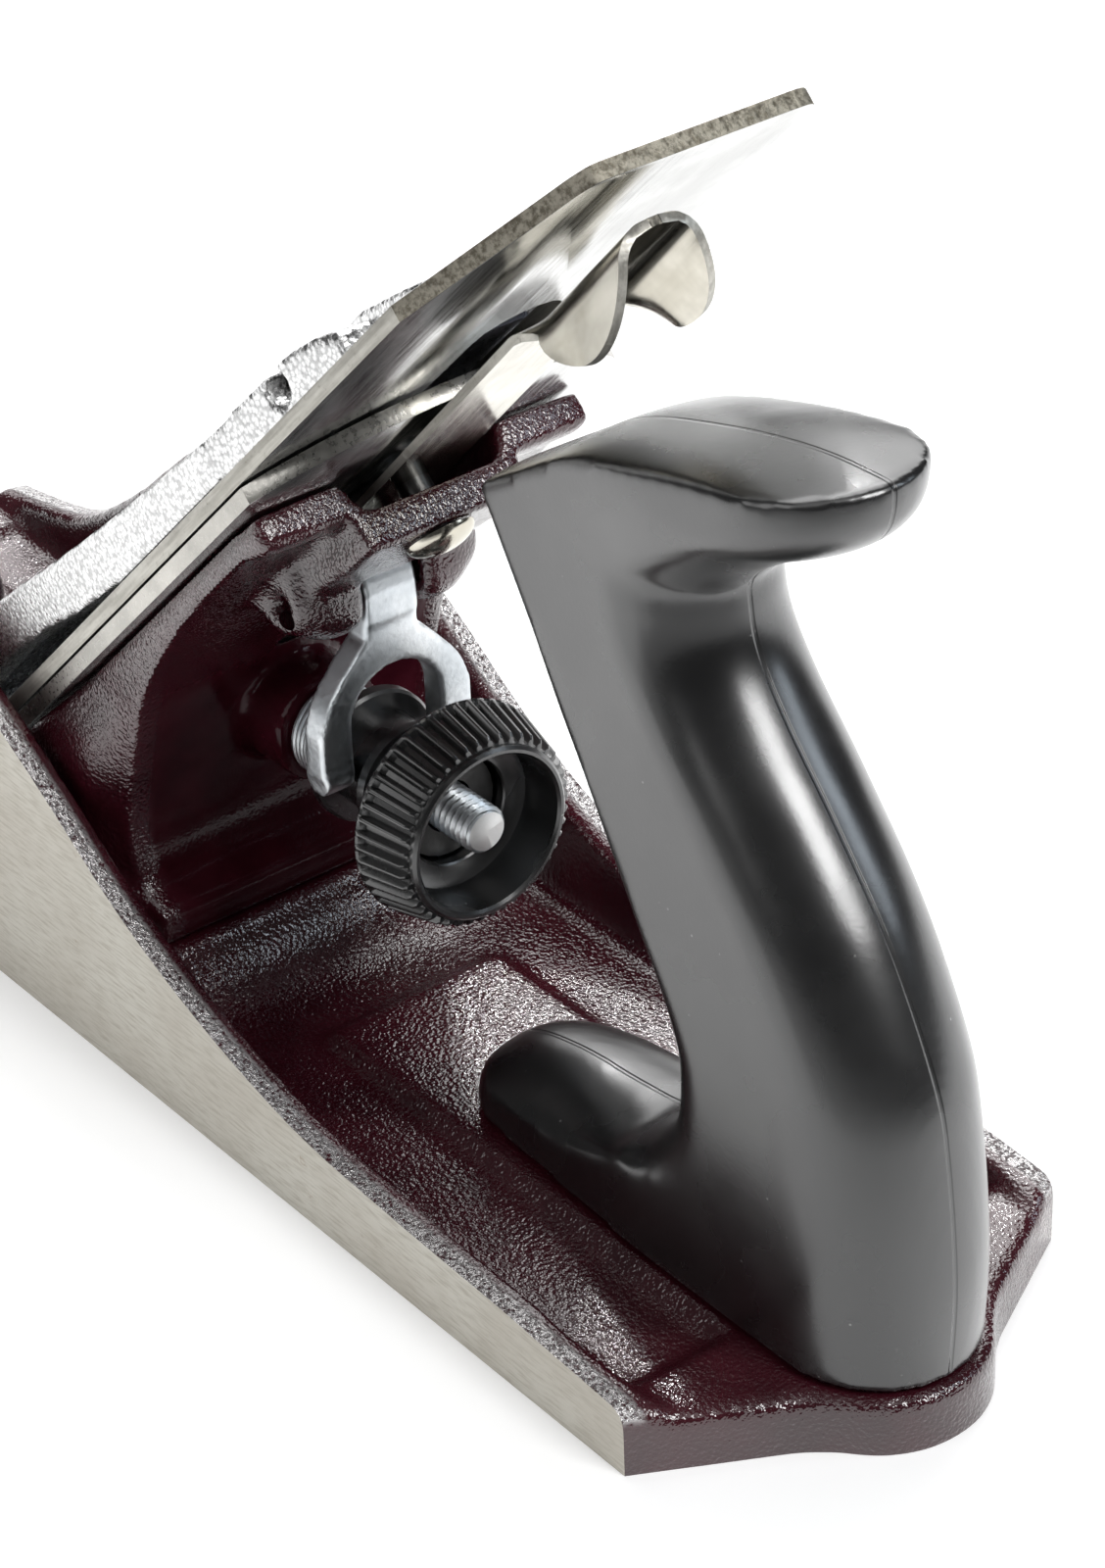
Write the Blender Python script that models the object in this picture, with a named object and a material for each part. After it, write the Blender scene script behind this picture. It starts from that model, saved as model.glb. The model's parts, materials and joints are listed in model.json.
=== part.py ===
"""Bench plane with a cast body, an adjustable frog, a double iron and moulded handles.

Sizes are in millimetres and MM turns them into metres. +X points to the toe, +Y to the left and +Z up.
The origin lies on the sole, midway along its length. Places on the bed are given as s, the distance
up the bed from the sole, and n, the height above the bed.
"""

import math

import bmesh
import bpy
from mathutils import Vector

MM = 0.001
GAP = 0.3

# Driving sizes of the body casting
BODY_LENGTH = 239.0
CHEEK_THICKNESS = 4.0
CHEEK_CLEARANCE = 2.0
CHEEK_END_HEIGHT = 8.5
CHEEK_PEAK_HEIGHT = 47.0
SOLE_THICKNESS = 5.0
END_FLAT_HEIGHT = 7.0
HEEL_BUMP = 18.0
HEEL_BUMP_RADIUS = 13.0
HEEL_FLAT_LENGTH = 4.0
TOE_CROWN = 7.0
TOE_FLAT_LENGTH = 6.0
SEAT_HEIGHT = 13.0
SEAT_LENGTH = 56.0
TOTE_PAD_WIDTH = 25.0
TOTE_PAD_HEIGHT = 6.8
TOTE_PAD_FRONT = 78.0
KNOB_BOSS_RADIUS = 15.0
KNOB_BOSS_HEIGHT = 8.0
MOUTH_SETBACK = 66.7
MOUTH_OPENING = 7.5
MOUTH_SIDE_CLEARANCE = 1.7

# Driving sizes of the irons
BED_ANGLE = 45.0
CUTTER_WIDTH = 50.0
CUTTER_THICKNESS = 2.0
CUTTER_TOP = 192.0
CUTTER_SHOULDER = 167.0
CUTTER_END_WIDTH = 28.0
CUTTER_CORNER_RADIUS = 2.5
CUTTER_BEVEL_ANGLE = 28.0
EDGE_HEIGHT = 0.5
SLOT_WIDTH = 11.0
SLOT_LOW = 45.0
SLOT_HIGH = 152.0
SLOT_HOLE_RADIUS = 8.3
CAP_IRON_THICKNESS = 2.0
CAP_IRON_LOW = 3.0
CAP_IRON_SHOULDER = 123.0
CAP_IRON_TOP = 135.5
IRON_SCREW_S = 86.5
IRON_SCREW_RADIUS = 3.0
IRON_SCREW_HEAD_RADIUS = 7.5
IRON_SCREW_HEAD_HEIGHT = 3.0
IRON_TRAVEL = 1.2

# Driving sizes of the frog
FROG_INSET = 2.4
FROG_TOP = 117.3
FROG_RIM = 2.9
FROG_FOOT = 57.5
FROG_FOOT_HEIGHT = 5.0
FROG_TRAVEL = 1.5
FROG_SCREW_SETBACK = 36.3
FROG_SCREW_SPACING = 24.0
FROG_SCREW_RADIUS = 3.0
FROG_SCREW_HEAD_RADIUS = 4.8
FROG_SCREW_HEAD_HEIGHT = 4.0
FROG_SCREW_DEPTH = 7.5
FROG_WASHER_RADIUS = 5.6
FROG_WASHER_THICKNESS = 1.2
LEDGE_DEPTH = 8.5
LEDGE_WIDTH = 22.6
RECESS_DEPTH = 4.1
RECESS_WIDTH = 17.2
RECESS_FLANK = 2.6

# Driving sizes of the depth adjuster
YOKE_PIN_S = 96.0
YOKE_PIN_DEPTH = 7.6
YOKE_PIN_RADIUS = 1.6
YOKE_PIN_RECESS = 2.6
YOKE_HUB_RADIUS = 5.0
YOKE_STEM_WIDTH = 8.0
YOKE_TIP_THICKNESS = 4.0
YOKE_SET = 1.0
YOKE_THICKNESS = 3.6
YOKE_ARM_WIDTH = 4.4
YOKE_ARM_RAISE = 2.8
YOKE_FOOT_RADIUS = 2.3
YOKE_TILT_ROOM = 1.3
LUG_RADIUS = 4.6
LUG_WIDTH = 8.8
STUD_HEIGHT = 37.6
STUD_RADIUS = 3.0
STUD_COLLAR_RADIUS = 6.0
STUD_COLLAR_LENGTH = 3.0
STUD_BOSS_RADIUS = 7.5
STUD_COLLAR_ROOM = 4.0
STUD_TIP_INSET = 0.8
STUD_TIP_CHAMFER = 0.5
STUD_SEAT_DEPTH = 10.0
BUSH_WALL = 1.2
BUSH_FLANGE = 1.9
BUSH_FLANGE_THICKNESS = 1.0
HUB_WALL = 1.3
HUB_FLANGE = 2.4
HUB_FLANGE_LENGTH = 2.0
HUB_LENGTH = 8.0
GROOVE_WIDTH = 6.0
WHEEL_LENGTH = 8.0
WHEEL_FRONT_RADIUS = 13.8
WHEEL_REAR_RADIUS = 11.9
WHEEL_RIM = 2.1
WHEEL_CUP_DEPTH = 6.3
WHEEL_POCKET_DEPTH = 3.0
WHEEL_BAND = 0.7
WHEEL_RIBS = 46
WHEEL_RIB_DEPTH = 0.7

# Driving sizes of the lateral adjuster
LATERAL_PIVOT_S = 113.2
LATERAL_REST_TILT = -5.0
LATERAL_WIDTH = 11.4
LATERAL_THICKNESS = 1.6
LATERAL_DISC_SETBACK = 7.8
LATERAL_DISC_RADIUS = 4.4
LATERAL_LENGTH = 74.2
TAB_RADIUS = 11.5
TAB_FOLD_FLAT = 1.2
TAB_FOLD_RADIUS = 3.5
TAB_FOLD_ANGLE = 74.0
TAB_FOLD_START = 47.0
TAB_FOLD_LENGTH = 13.0
LATERAL_RIVET_RADIUS = 2.0
LATERAL_RIVET_HEAD_RADIUS = 3.0
LATERAL_RIVET_DOME_RADIUS = 4.2
LATERAL_RIVET_DOME_HEIGHT = 2.0

# Driving sizes of the lever cap
CAP_LOW = 12.0
CAP_TOP = 147.0
CAP_WIDTH = 49.0
CAP_TOP_WIDTH = 40.0
CAP_TAPER_START = 116.0
CAP_WALL = 4.0
CAP_PLATE = 2.6
CAP_SCREW_S = 72.0
CAP_SCREW_RADIUS = 3.3
CAP_SCREW_HEAD_RADIUS = 6.0
CAP_SCREW_HEAD_HEIGHT = 3.0
CAP_SCREW_DEPTH = 6.0
KEYHOLE_DROP = 13.0
CAM_PIN_S = 134.0
CAM_PIN_HEIGHT = 3.7
CAM_PIN_RADIUS = 1.5
CAM_PIN_RECESS = 2.4
CAM_NOSE_RADIUS = 2.25
CAM_WIDTH = 30.0
CAM_LENGTH = 27.0
CAM_HEIGHT = 2.3
SPRING_LOW = 99.0
SPRING_HIGH = 139.0
SPRING_WIDTH = 14.0
SPRING_THICKNESS = 0.8
SPRING_RIVET_S = 102.5
SPRING_RIVET_RADIUS = 1.5
SPRING_RIVET_HEAD = 2.6

# Driving sizes of the handles
TOTE_BASE_WIDTH = 24.0
TOTE_GRIP_WIDTH = 21.2
TOTE_HORN_WIDTH = 22.6
TOTE_WIDTH_LOSS = 0.0055
TOTE_TOP_CROWN = 0.010
TOTE_TOE_CROWN = 0.040
TOTE_SCREW_REAR = 4.0
TOTE_SCREW_FRONT = 44.0
KNOB_SETBACK = 27.0
KNOB_HEIGHT = 57.0
HANDLE_SCREW_RADIUS = 2.5
HANDLE_SCREW_HEAD_RADIUS = 4.8
HANDLE_SCREW_HEAD_HEIGHT = 2.4
HANDLE_SCREW_RECESS = 0.4
INSERT_WALL = 1.6
INSERT_LENGTH = 6.0
KNOB_INSERT_LENGTH = 16.0

# Places and fits that follow from the driving sizes
BODY_WIDTH = CUTTER_WIDTH + 2 * (CHEEK_CLEARANCE + CHEEK_THICKNESS)
HALF_WIDTH = BODY_WIDTH / 2
TROUGH_HALF = HALF_WIDTH - CHEEK_THICKNESS
HEEL_CORNER = HEEL_BUMP - BODY_LENGTH / 2
TOE_CORNER = BODY_LENGTH / 2 - TOE_CROWN
BED_FOOT = BODY_LENGTH / 2 - MOUTH_SETBACK
KNOB_X = BODY_LENGTH / 2 - KNOB_SETBACK
TOTE_BASE = END_FLAT_HEIGHT + GAP
FROG_BASE = SEAT_HEIGHT + GAP
FROG_HALF = CUTTER_WIDTH / 2 - FROG_INSET
CAP_IRON_N = GAP
CUTTER_N = CAP_IRON_N + CAP_IRON_THICKNESS + GAP
CUTTER_FACE = CUTTER_N + CUTTER_THICKNESS
CAP_N = CUTTER_FACE + GAP
BORE_CLEARANCE = GAP
LATERAL_N = -RECESS_DEPTH + 1.7
LATERAL_FACE = LATERAL_N + LATERAL_THICKNESS
BUSH_RADIUS = STUD_RADIUS + BORE_CLEARANCE + BUSH_WALL
WHEEL_BORE = BUSH_RADIUS + BORE_CLEARANCE
GROOVE_RADIUS = WHEEL_BORE + HUB_WALL
HUB_RADIUS = GROOVE_RADIUS + HUB_FLANGE
YOKE_FORK_HALF = GROOVE_RADIUS + GAP
INSERT_BORE = HANDLE_SCREW_RADIUS + BORE_CLEARANCE
INSERT_RADIUS = INSERT_BORE + INSERT_WALL
SIN_BED = math.sin(math.radians(BED_ANGLE))
COS_BED = math.cos(math.radians(BED_ANGLE))


def bed_point(s, n):
    """World x and z of the point s up the bed and n above it."""
    return (BED_FOOT - s * COS_BED + n * SIN_BED, s * SIN_BED + n * COS_BED)


YOKE_PIN_X, YOKE_PIN_Z = bed_point(YOKE_PIN_S, -YOKE_PIN_DEPTH)
YOKE_X = YOKE_PIN_X - YOKE_SET
GROOVE_REAR = YOKE_X - GROOVE_WIDTH / 2
GROOVE_FRONT = YOKE_X + GROOVE_WIDTH / 2
HUB_FRONT = GROOVE_FRONT + HUB_FLANGE_LENGTH
WHEEL_FRONT = GROOVE_REAR - HUB_LENGTH
WHEEL_REAR = WHEEL_FRONT - WHEEL_LENGTH
CUP_FLOOR = WHEEL_REAR + WHEEL_CUP_DEPTH
POCKET_FLOOR = CUP_FLOOR + WHEEL_POCKET_DEPTH
STUD_COLLAR_X = HUB_FRONT + STUD_COLLAR_ROOM
STUD_BOSS_X = STUD_COLLAR_X + STUD_COLLAR_LENGTH + GAP
STUD_TIP_X = WHEEL_REAR + STUD_TIP_INSET
CUTTER_EDGE = (EDGE_HEIGHT - CUTTER_N * COS_BED) / SIN_BED


# Outline helpers

def arc(centre, radius, start, stop, steps):
    """Points on a circular arc between two angles in degrees."""
    points = []
    for step in range(steps + 1):
        angle = math.radians(start + (stop - start) * step / steps)
        points.append((centre[0] + radius * math.cos(angle), centre[1] + radius * math.sin(angle)))
    return points


def curve(points, steps):
    """Smooth curve through the points, with a number of steps in each stretch."""
    ends = [points[0]] + list(points) + [points[-1]]
    result = []
    for index in range(len(points) - 1):
        a, b, c, d = [Vector(p) for p in ends[index:index + 4]]
        for step in range(steps):
            t = step / steps
            blend = (b * 2 + (c - a) * t + (a * 2 - b * 5 + c * 4 - d) * t ** 2
                     + (b * 3 - a - c * 3 + d) * t ** 3) * 0.5
            result.append(tuple(blend))
    result.append(tuple(points[-1]))
    return result


def level(points, value):
    """Second number of a polyline where its first number has the given value."""
    if value <= points[0][0]:
        return points[0][1]
    for (a, low), (b, high) in zip(points, points[1:]):
        if value <= b:
            return low + (high - low) * (value - a) / (b - a)
    return points[-1][1]


def slot_outline(low, high, half, steps=8):
    """Rounded slot along the first axis, between its two end centres."""
    return arc((high, 0), half, -90, 90, steps) + arc((low, 0), half, 90, 270, steps)


def bed_outline(outline):
    """Outline of s and y turned into the bed frame, whose x runs down the bed."""
    return [(-s, y) for s, y in outline]


# Solids

def prism(outline, low, high, axis):
    """Solid of a flat outline swept along one axis."""
    def place(a, b, height):
        if axis == "X":
            return (height, a, b)
        if axis == "Y":
            return (a, height, b)
        return (a, b, height)

    mesh = bmesh.new()
    bottom = [mesh.verts.new(place(a, b, low)) for a, b in outline]
    top = [mesh.verts.new(place(a, b, high)) for a, b in outline]
    mesh.faces.new(bottom)
    mesh.faces.new(top)
    for index in range(len(outline)):
        after = (index + 1) % len(outline)
        mesh.faces.new((bottom[index], bottom[after], top[after], top[index]))
    bmesh.ops.recalc_face_normals(mesh, faces=mesh.faces)
    return mesh


def stack_rings(rings, closed=False):
    """Solid skinned over rings of points; a ring of one point is a tip."""
    mesh = bmesh.new()
    loops = [[mesh.verts.new(point) for point in ring] for ring in rings]
    pairs = list(zip(loops, loops[1:]))
    if closed:
        pairs.append((loops[-1], loops[0]))
    for lower, upper in pairs:
        count = max(len(lower), len(upper))
        for index in range(count):
            after = (index + 1) % count
            corners = [lower[index % len(lower)], lower[after % len(lower)],
                       upper[after % len(upper)], upper[index % len(upper)]]
            mesh.faces.new(list(dict.fromkeys(corners)))
    if not closed:
        for loop in (loops[0], loops[-1]):
            if len(loop) > 2:
                mesh.faces.new(loop)
    bmesh.ops.recalc_face_normals(mesh, faces=mesh.faces)
    return mesh


def turned(profile, axis="Z", centre=(0, 0), sides=32, closed=False):
    """Solid of revolution; the profile gives the radius at each place along the axis."""
    rings = []
    for radius, height in profile:
        count = sides if radius > 0 else 1
        ring = []
        for index in range(count):
            angle = 2 * math.pi * index / sides
            a = centre[0] + radius * math.cos(angle)
            b = centre[1] + radius * math.sin(angle)
            ring.append({"X": (height, a, b), "Y": (a, height, b), "Z": (a, b, height)}[axis])
        rings.append(ring)
    return stack_rings(rings, closed)


def rod(radius, low, high, axis="Z", centre=(0, 0), sides=32):
    """Plain round bar."""
    return turned([(radius, low), (radius, high)], axis, centre, sides)


# Scene helpers

def material(name, colour, roughness, metallic):
    """Principled material of one piece."""
    result = bpy.data.materials.new(name)
    result.use_nodes = True
    shader = result.node_tree.nodes["Principled BSDF"]
    shader.inputs["Base Color"].default_value = (*colour, 1.0)
    shader.inputs["Roughness"].default_value = roughness
    shader.inputs["Metallic"].default_value = metallic
    return result


def place(name, mesh, origin=(0, 0, 0), parent=None):
    """Object whose mesh is given in its parent's frame, with its origin at a chosen point."""
    shift = Vector(origin)
    for vertex in mesh.verts:
        vertex.co = (vertex.co - shift) * MM
    data = bpy.data.meshes.new(name)
    mesh.to_mesh(data)
    mesh.free()
    result = bpy.data.objects.new(name, data)
    result.location = shift * MM
    result.parent = parent
    bpy.context.scene.collection.objects.link(result)
    return result


def piece(name, mesh, finish, origin=(0, 0, 0), parent=None):
    """One named sub-part with its own material."""
    result = place(name, mesh, origin, parent)
    result.data.materials.append(material(name, *finish))
    result.data.shade_smooth()
    result.data.set_sharp_from_angle(angle=math.radians(35))
    return result


def shape(target, operation, mesh, parent=None):
    """Boolean of a hidden tool solid on a piece."""
    modifier = target.modifiers.new(operation.lower(), "BOOLEAN")
    tool = place(target.name + "_tool_" + str(len(target.modifiers)), mesh, parent=parent)
    tool.hide_render = True
    tool.display_type = "WIRE"
    modifier.operation = operation
    modifier.object = tool


def cut(target, mesh, parent=None):
    shape(target, "DIFFERENCE", mesh, parent)


def fuse(target, mesh, parent=None):
    shape(target, "UNION", mesh, parent)


# Finishes: colour, roughness, metallic
MAROON = ((0.075, 0.012, 0.020), 0.35, 0.0)
BLACK_PLASTIC = ((0.012, 0.012, 0.013), 0.42, 0.0)
STEEL = ((0.55, 0.53, 0.48), 0.30, 1.0)
CHROME = ((0.78, 0.78, 0.78), 0.18, 1.0)
NICKEL = ((0.66, 0.62, 0.52), 0.22, 1.0)
ZINC = ((0.62, 0.66, 0.68), 0.32, 1.0)
BRASS = ((0.70, 0.52, 0.25), 0.30, 1.0)
SPRING_STEEL = ((0.30, 0.30, 0.32), 0.35, 1.0)


# Body casting

def cheek_outline():
    """Side view of the casting: a flat sole under a cheek that humps over the mouth."""
    heel = [(HEEL_CORNER, CHEEK_END_HEIGHT), (HEEL_CORNER + 20, CHEEK_END_HEIGHT + 1.2),
            (HEEL_CORNER + 45, CHEEK_END_HEIGHT + 2.2)]
    rise = [(-94, 0.26), (-77, 0.36), (-61, 0.51), (-45, 0.73), (-27, 0.94), (-14, 1.0), (-5, 0.96), (10, 0.73),
            (22, 0.51), (36, 0.30)]
    hump = [(BED_FOOT + along, CHEEK_PEAK_HEIGHT * share) for along, share in rise]
    toe = [(TOE_CORNER - 14, CHEEK_END_HEIGHT + 2.4), (TOE_CORNER, CHEEK_END_HEIGHT)]
    top = curve(heel + hump + toe, 4)
    past = 2 * HEEL_BUMP
    rear = [(HEEL_CORNER - past, 0), (HEEL_CORNER - past, CHEEK_END_HEIGHT)]
    front = [(TOE_CORNER + past, CHEEK_END_HEIGHT), (TOE_CORNER + past, 0)]
    return rear + top + front


def plan_outline():
    """Top view of the casting: a round bump behind the heel and a crowned toe."""
    bump_centre = HEEL_CORNER - HEEL_BUMP + HEEL_BUMP_RADIUS
    bump = arc((bump_centre, 0), HEEL_BUMP_RADIUS, 122, 238, 16)
    root = HEEL_CORNER - HEEL_BUMP * 0.51
    root_half = HEEL_BUMP_RADIUS * 1.10
    chord = HALF_WIDTH - 1.5
    crown_radius = (chord ** 2 + TOE_CROWN ** 2) / (2 * TOE_CROWN)
    sweep = math.degrees(math.asin(chord / crown_radius))
    toe = arc((TOE_CORNER + TOE_CROWN - crown_radius, 0), crown_radius, -sweep, sweep, 14)
    right = [(HEEL_CORNER, -HALF_WIDTH), (TOE_CORNER - 1.5, -HALF_WIDTH)]
    left = [(TOE_CORNER - 1.5, HALF_WIDTH), (HEEL_CORNER, HALF_WIDTH)]
    return left + [(root, root_half)] + bump + [(root, -root_half)] + right + toe


def trough_outline():
    """Side view of the hollow between the cheeks, down to the floor, the frog seat and the ramp."""
    roof = 2 * CHEEK_PEAK_HEIGHT
    ramp_x, ramp_z = bed_point(SEAT_HEIGHT / SIN_BED, 0)
    foot_x, foot_z = bed_point(SOLE_THICKNESS / SIN_BED, 0)
    rear = HEEL_CORNER - 2 * HEEL_BUMP
    front = TOE_CORNER + 2 * TOE_CROWN + HEEL_BUMP
    heel_step = HEEL_CORNER + HEEL_FLAT_LENGTH
    toe_step = TOE_CORNER - TOE_FLAT_LENGTH
    seat_rear = BED_FOOT - SEAT_LENGTH
    return [(rear, roof), (rear, END_FLAT_HEIGHT), (heel_step, END_FLAT_HEIGHT), (heel_step + 2, SOLE_THICKNESS),
            (seat_rear, SOLE_THICKNESS), (seat_rear, SEAT_HEIGHT), (ramp_x, ramp_z), (foot_x, foot_z),
            (toe_step - 2, SOLE_THICKNESS), (toe_step, END_FLAT_HEIGHT), (front, END_FLAT_HEIGHT), (front, roof)]


def mouth_outline():
    """Side view of the mouth: the bed plane behind and an upright front edge."""
    over = 2.0
    low_x, low_z = bed_point(-over / SIN_BED, 0)
    high_x, high_z = bed_point(SOLE_THICKNESS / SIN_BED, 0)
    front = BED_FOOT + MOUTH_OPENING
    return [(low_x, low_z), (front, low_z), (front, high_z + over), (high_x, high_z + over), (high_x, high_z)]


def handle_screw_hole(x, top):
    """Countersunk hole through the sole for a handle screw."""
    clear = BORE_CLEARANCE
    head = HANDLE_SCREW_HEAD_RADIUS + clear
    shank = HANDLE_SCREW_RADIUS + clear
    cone = HANDLE_SCREW_RECESS + HANDLE_SCREW_HEAD_HEIGHT + clear
    profile = [(0, -1), (head, -1), (head, HANDLE_SCREW_RECESS), (shank, cone), (shank, top + 1), (0, top + 1)]
    return turned(profile, centre=(x, 0), sides=20)


def body_casting():
    body = piece("body_casting", prism(cheek_outline(), -2 * HALF_WIDTH, 2 * HALF_WIDTH, "Y"), MAROON)
    shape(body, "INTERSECT", prism(plan_outline(), -1, 2 * CHEEK_PEAK_HEIGHT, "Z"))
    cut(body, prism(trough_outline(), -TROUGH_HALF, TROUGH_HALF, "Y"))
    pad_half = TOTE_PAD_WIDTH / 2
    pad_front = HEEL_CORNER + TOTE_PAD_FRONT
    heel_inside = HEEL_CORNER + HEEL_FLAT_LENGTH / 2
    pad = [(heel_inside, -pad_half), (pad_front, -pad_half), (pad_front, pad_half), (heel_inside, pad_half)]
    fuse(body, prism(pad, SOLE_THICKNESS / 2, TOTE_PAD_HEIGHT, "Z"))
    fuse(body, rod(KNOB_BOSS_RADIUS, SOLE_THICKNESS / 2, KNOB_BOSS_HEIGHT, centre=(KNOB_X, 0)))
    mouth_half = CUTTER_WIDTH / 2 + MOUTH_SIDE_CLEARANCE
    cut(body, prism(mouth_outline(), -mouth_half, mouth_half, "Y"))
    for x in (HEEL_CORNER + TOTE_SCREW_REAR, HEEL_CORNER + TOTE_SCREW_FRONT):
        cut(body, handle_screw_hole(x, END_FLAT_HEIGHT))
    cut(body, handle_screw_hole(KNOB_X, KNOB_BOSS_HEIGHT))
    for side in (-1, 1):
        centre = (BED_FOOT - FROG_SCREW_SETBACK, side * FROG_SCREW_SPACING / 2)
        low = SEAT_HEIGHT - FROG_SCREW_DEPTH - GAP
        cut(body, rod(FROG_SCREW_RADIUS + BORE_CLEARANCE, low, SEAT_HEIGHT + 1, centre=centre, sides=20))


# Frog and its fasteners

FROG_SCREW_X = BED_FOOT - FROG_SCREW_SETBACK
FROG_FLOOR = FROG_BASE + FROG_FOOT_HEIGHT
WASHER_LOW = FROG_FLOOR + GAP
HEAD_LOW = WASHER_LOW + FROG_WASHER_THICKNESS + GAP


def frog_outline():
    """Side view of the frog: flat foot, sloping bed, thin top rim and a hollow back."""
    toe_x, toe_z = bed_point(FROG_BASE / SIN_BED, 0)
    top = bed_point(FROG_TOP, 0)
    rim = bed_point(FROG_TOP, -FROG_RIM)
    foot = BED_FOOT - FROG_FOOT
    back = [rim, bed_point(97, -3.1), bed_point(85, -4.2), bed_point(74, -6.6), bed_point(65, -11.0),
            bed_point(56, -16.8), bed_point(52, -23.0), (foot + 1.5, FROG_FLOOR)]
    return [(toe_x, toe_z), top] + curve(back, 4) + [(foot, FROG_FLOOR - 1), (foot, FROG_BASE)]


def lug_outline():
    """Side view of a yoke lug: a round end on the pin, rooted in the bed plate."""
    centre = (YOKE_PIN_S, -YOKE_PIN_DEPTH)
    root = LUG_RADIUS + 2.5
    points = [(YOKE_PIN_S - root, -1.5)] + arc(centre, LUG_RADIUS, 180, 360, 12) + [(YOKE_PIN_S + root, -1.5)]
    return [bed_point(s, n) for s, n in points]


def recess_outline():
    """Section across the lateral lever's recess: a flat floor between two rounded flanks."""
    right = []
    for step in range(7):
        share = step / 6
        rise = (1 - math.cos(math.pi * share)) / 2
        right.append((RECESS_WIDTH / 2 + RECESS_FLANK * share, RECESS_DEPTH * (1.05 * rise - 1)))
    right.append((right[-1][0], 5))
    return right + [(-y, n) for y, n in reversed(right)]


def frog(bed):
    block = piece("frog", prism(frog_outline(), -FROG_HALF, FROG_HALF, "Y"), MAROON)
    half = LEDGE_WIDTH / 2
    ledge_low = YOKE_PIN_S + YOKE_HUB_RADIUS + 2 * GAP
    ledge = [(ledge_low, half), (FROG_TOP, half), (FROG_TOP, -half), (ledge_low, -half)]
    fuse(block, prism(bed_outline(ledge), -LEDGE_DEPTH, -1, "Z"), bed)
    for side in (-1, 1):
        low = YOKE_STEM_WIDTH / 2 + GAP
        span = sorted((side * low, side * (low + LUG_WIDTH)))
        fuse(block, prism(lug_outline(), span[0], span[1], "Y"))
    seat_end = STUD_BOSS_X + STUD_SEAT_DEPTH
    boss_end = BED_FOOT - STUD_HEIGHT * COS_BED / SIN_BED - STUD_BOSS_RADIUS - 1
    fuse(block, rod(STUD_BOSS_RADIUS, STUD_BOSS_X, boss_end, "X", (0, STUD_HEIGHT), 24))

    recess_low = LATERAL_PIVOT_S - LATERAL_DISC_SETBACK - LATERAL_WIDTH / 2 - 2 * GAP
    cut(block, prism(recess_outline(), -FROG_TOP - 5, -recess_low, "X"), bed)
    window = YOKE_TIP_THICKNESS / 2 + YOKE_TILT_ROOM
    half = YOKE_STEM_WIDTH / 2 + GAP
    slot = [(YOKE_PIN_S - window, half), (YOKE_PIN_S + window, half),
            (YOKE_PIN_S + window, -half), (YOKE_PIN_S - window, -half)]
    cut(block, prism(bed_outline(slot), -LEDGE_DEPTH - 2, 5, "Z"), bed)
    cut(block, rod(YOKE_PIN_RADIUS + BORE_CLEARANCE, -FROG_HALF, FROG_HALF, "Y", (YOKE_PIN_X, YOKE_PIN_Z), 16))
    cut(block, rod(STUD_RADIUS + BORE_CLEARANCE, STUD_BOSS_X - 2, seat_end + GAP, "X", (0, STUD_HEIGHT), 20))
    cut(block, rod(CAP_SCREW_RADIUS + BORE_CLEARANCE, -CAP_SCREW_DEPTH - GAP, 5, "Z", (-CAP_SCREW_S, 0), 20), bed)
    rivet = rod(LATERAL_RIVET_RADIUS + BORE_CLEARANCE, -LEDGE_DEPTH - 2, 0, "Z", (-LATERAL_PIVOT_S, 0), 16)
    cut(block, rivet, bed)

    ceiling = FROG_TOP
    for side in (-1, 1):
        y = side * FROG_SCREW_SPACING / 2
        for radius, low in ((FROG_SCREW_RADIUS + 2 * GAP, 0), (FROG_WASHER_RADIUS + GAP, FROG_FLOOR)):
            outline = slot_outline(FROG_SCREW_X - FROG_TRAVEL, FROG_SCREW_X, radius)
            cut(block, prism([(x, y + across) for x, across in outline], low, ceiling, "Z"))


def frog_fasteners():
    for side, name in ((1, "left"), (-1, "right")):
        centre = (FROG_SCREW_X, side * FROG_SCREW_SPACING / 2)
        bore = FROG_SCREW_RADIUS + BORE_CLEARANCE
        ring = [(bore, WASHER_LOW), (FROG_WASHER_RADIUS, WASHER_LOW),
                (FROG_WASHER_RADIUS, WASHER_LOW + FROG_WASHER_THICKNESS), (bore, WASHER_LOW + FROG_WASHER_THICKNESS)]
        piece("frog_washer_" + name, turned(ring, centre=centre, sides=24, closed=True), ZINC)
        tip = SEAT_HEIGHT - FROG_SCREW_DEPTH
        head_top = HEAD_LOW + FROG_SCREW_HEAD_HEIGHT
        profile = [(0, tip), (FROG_SCREW_RADIUS, tip), (FROG_SCREW_RADIUS, HEAD_LOW), (FROG_SCREW_HEAD_RADIUS, HEAD_LOW),
                   (FROG_SCREW_HEAD_RADIUS, head_top - 0.6), (FROG_SCREW_HEAD_RADIUS - 0.6, head_top), (0, head_top)]
        piece("frog_screw_" + name, turned(profile, centre=centre, sides=24), STEEL)


# Irons

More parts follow.
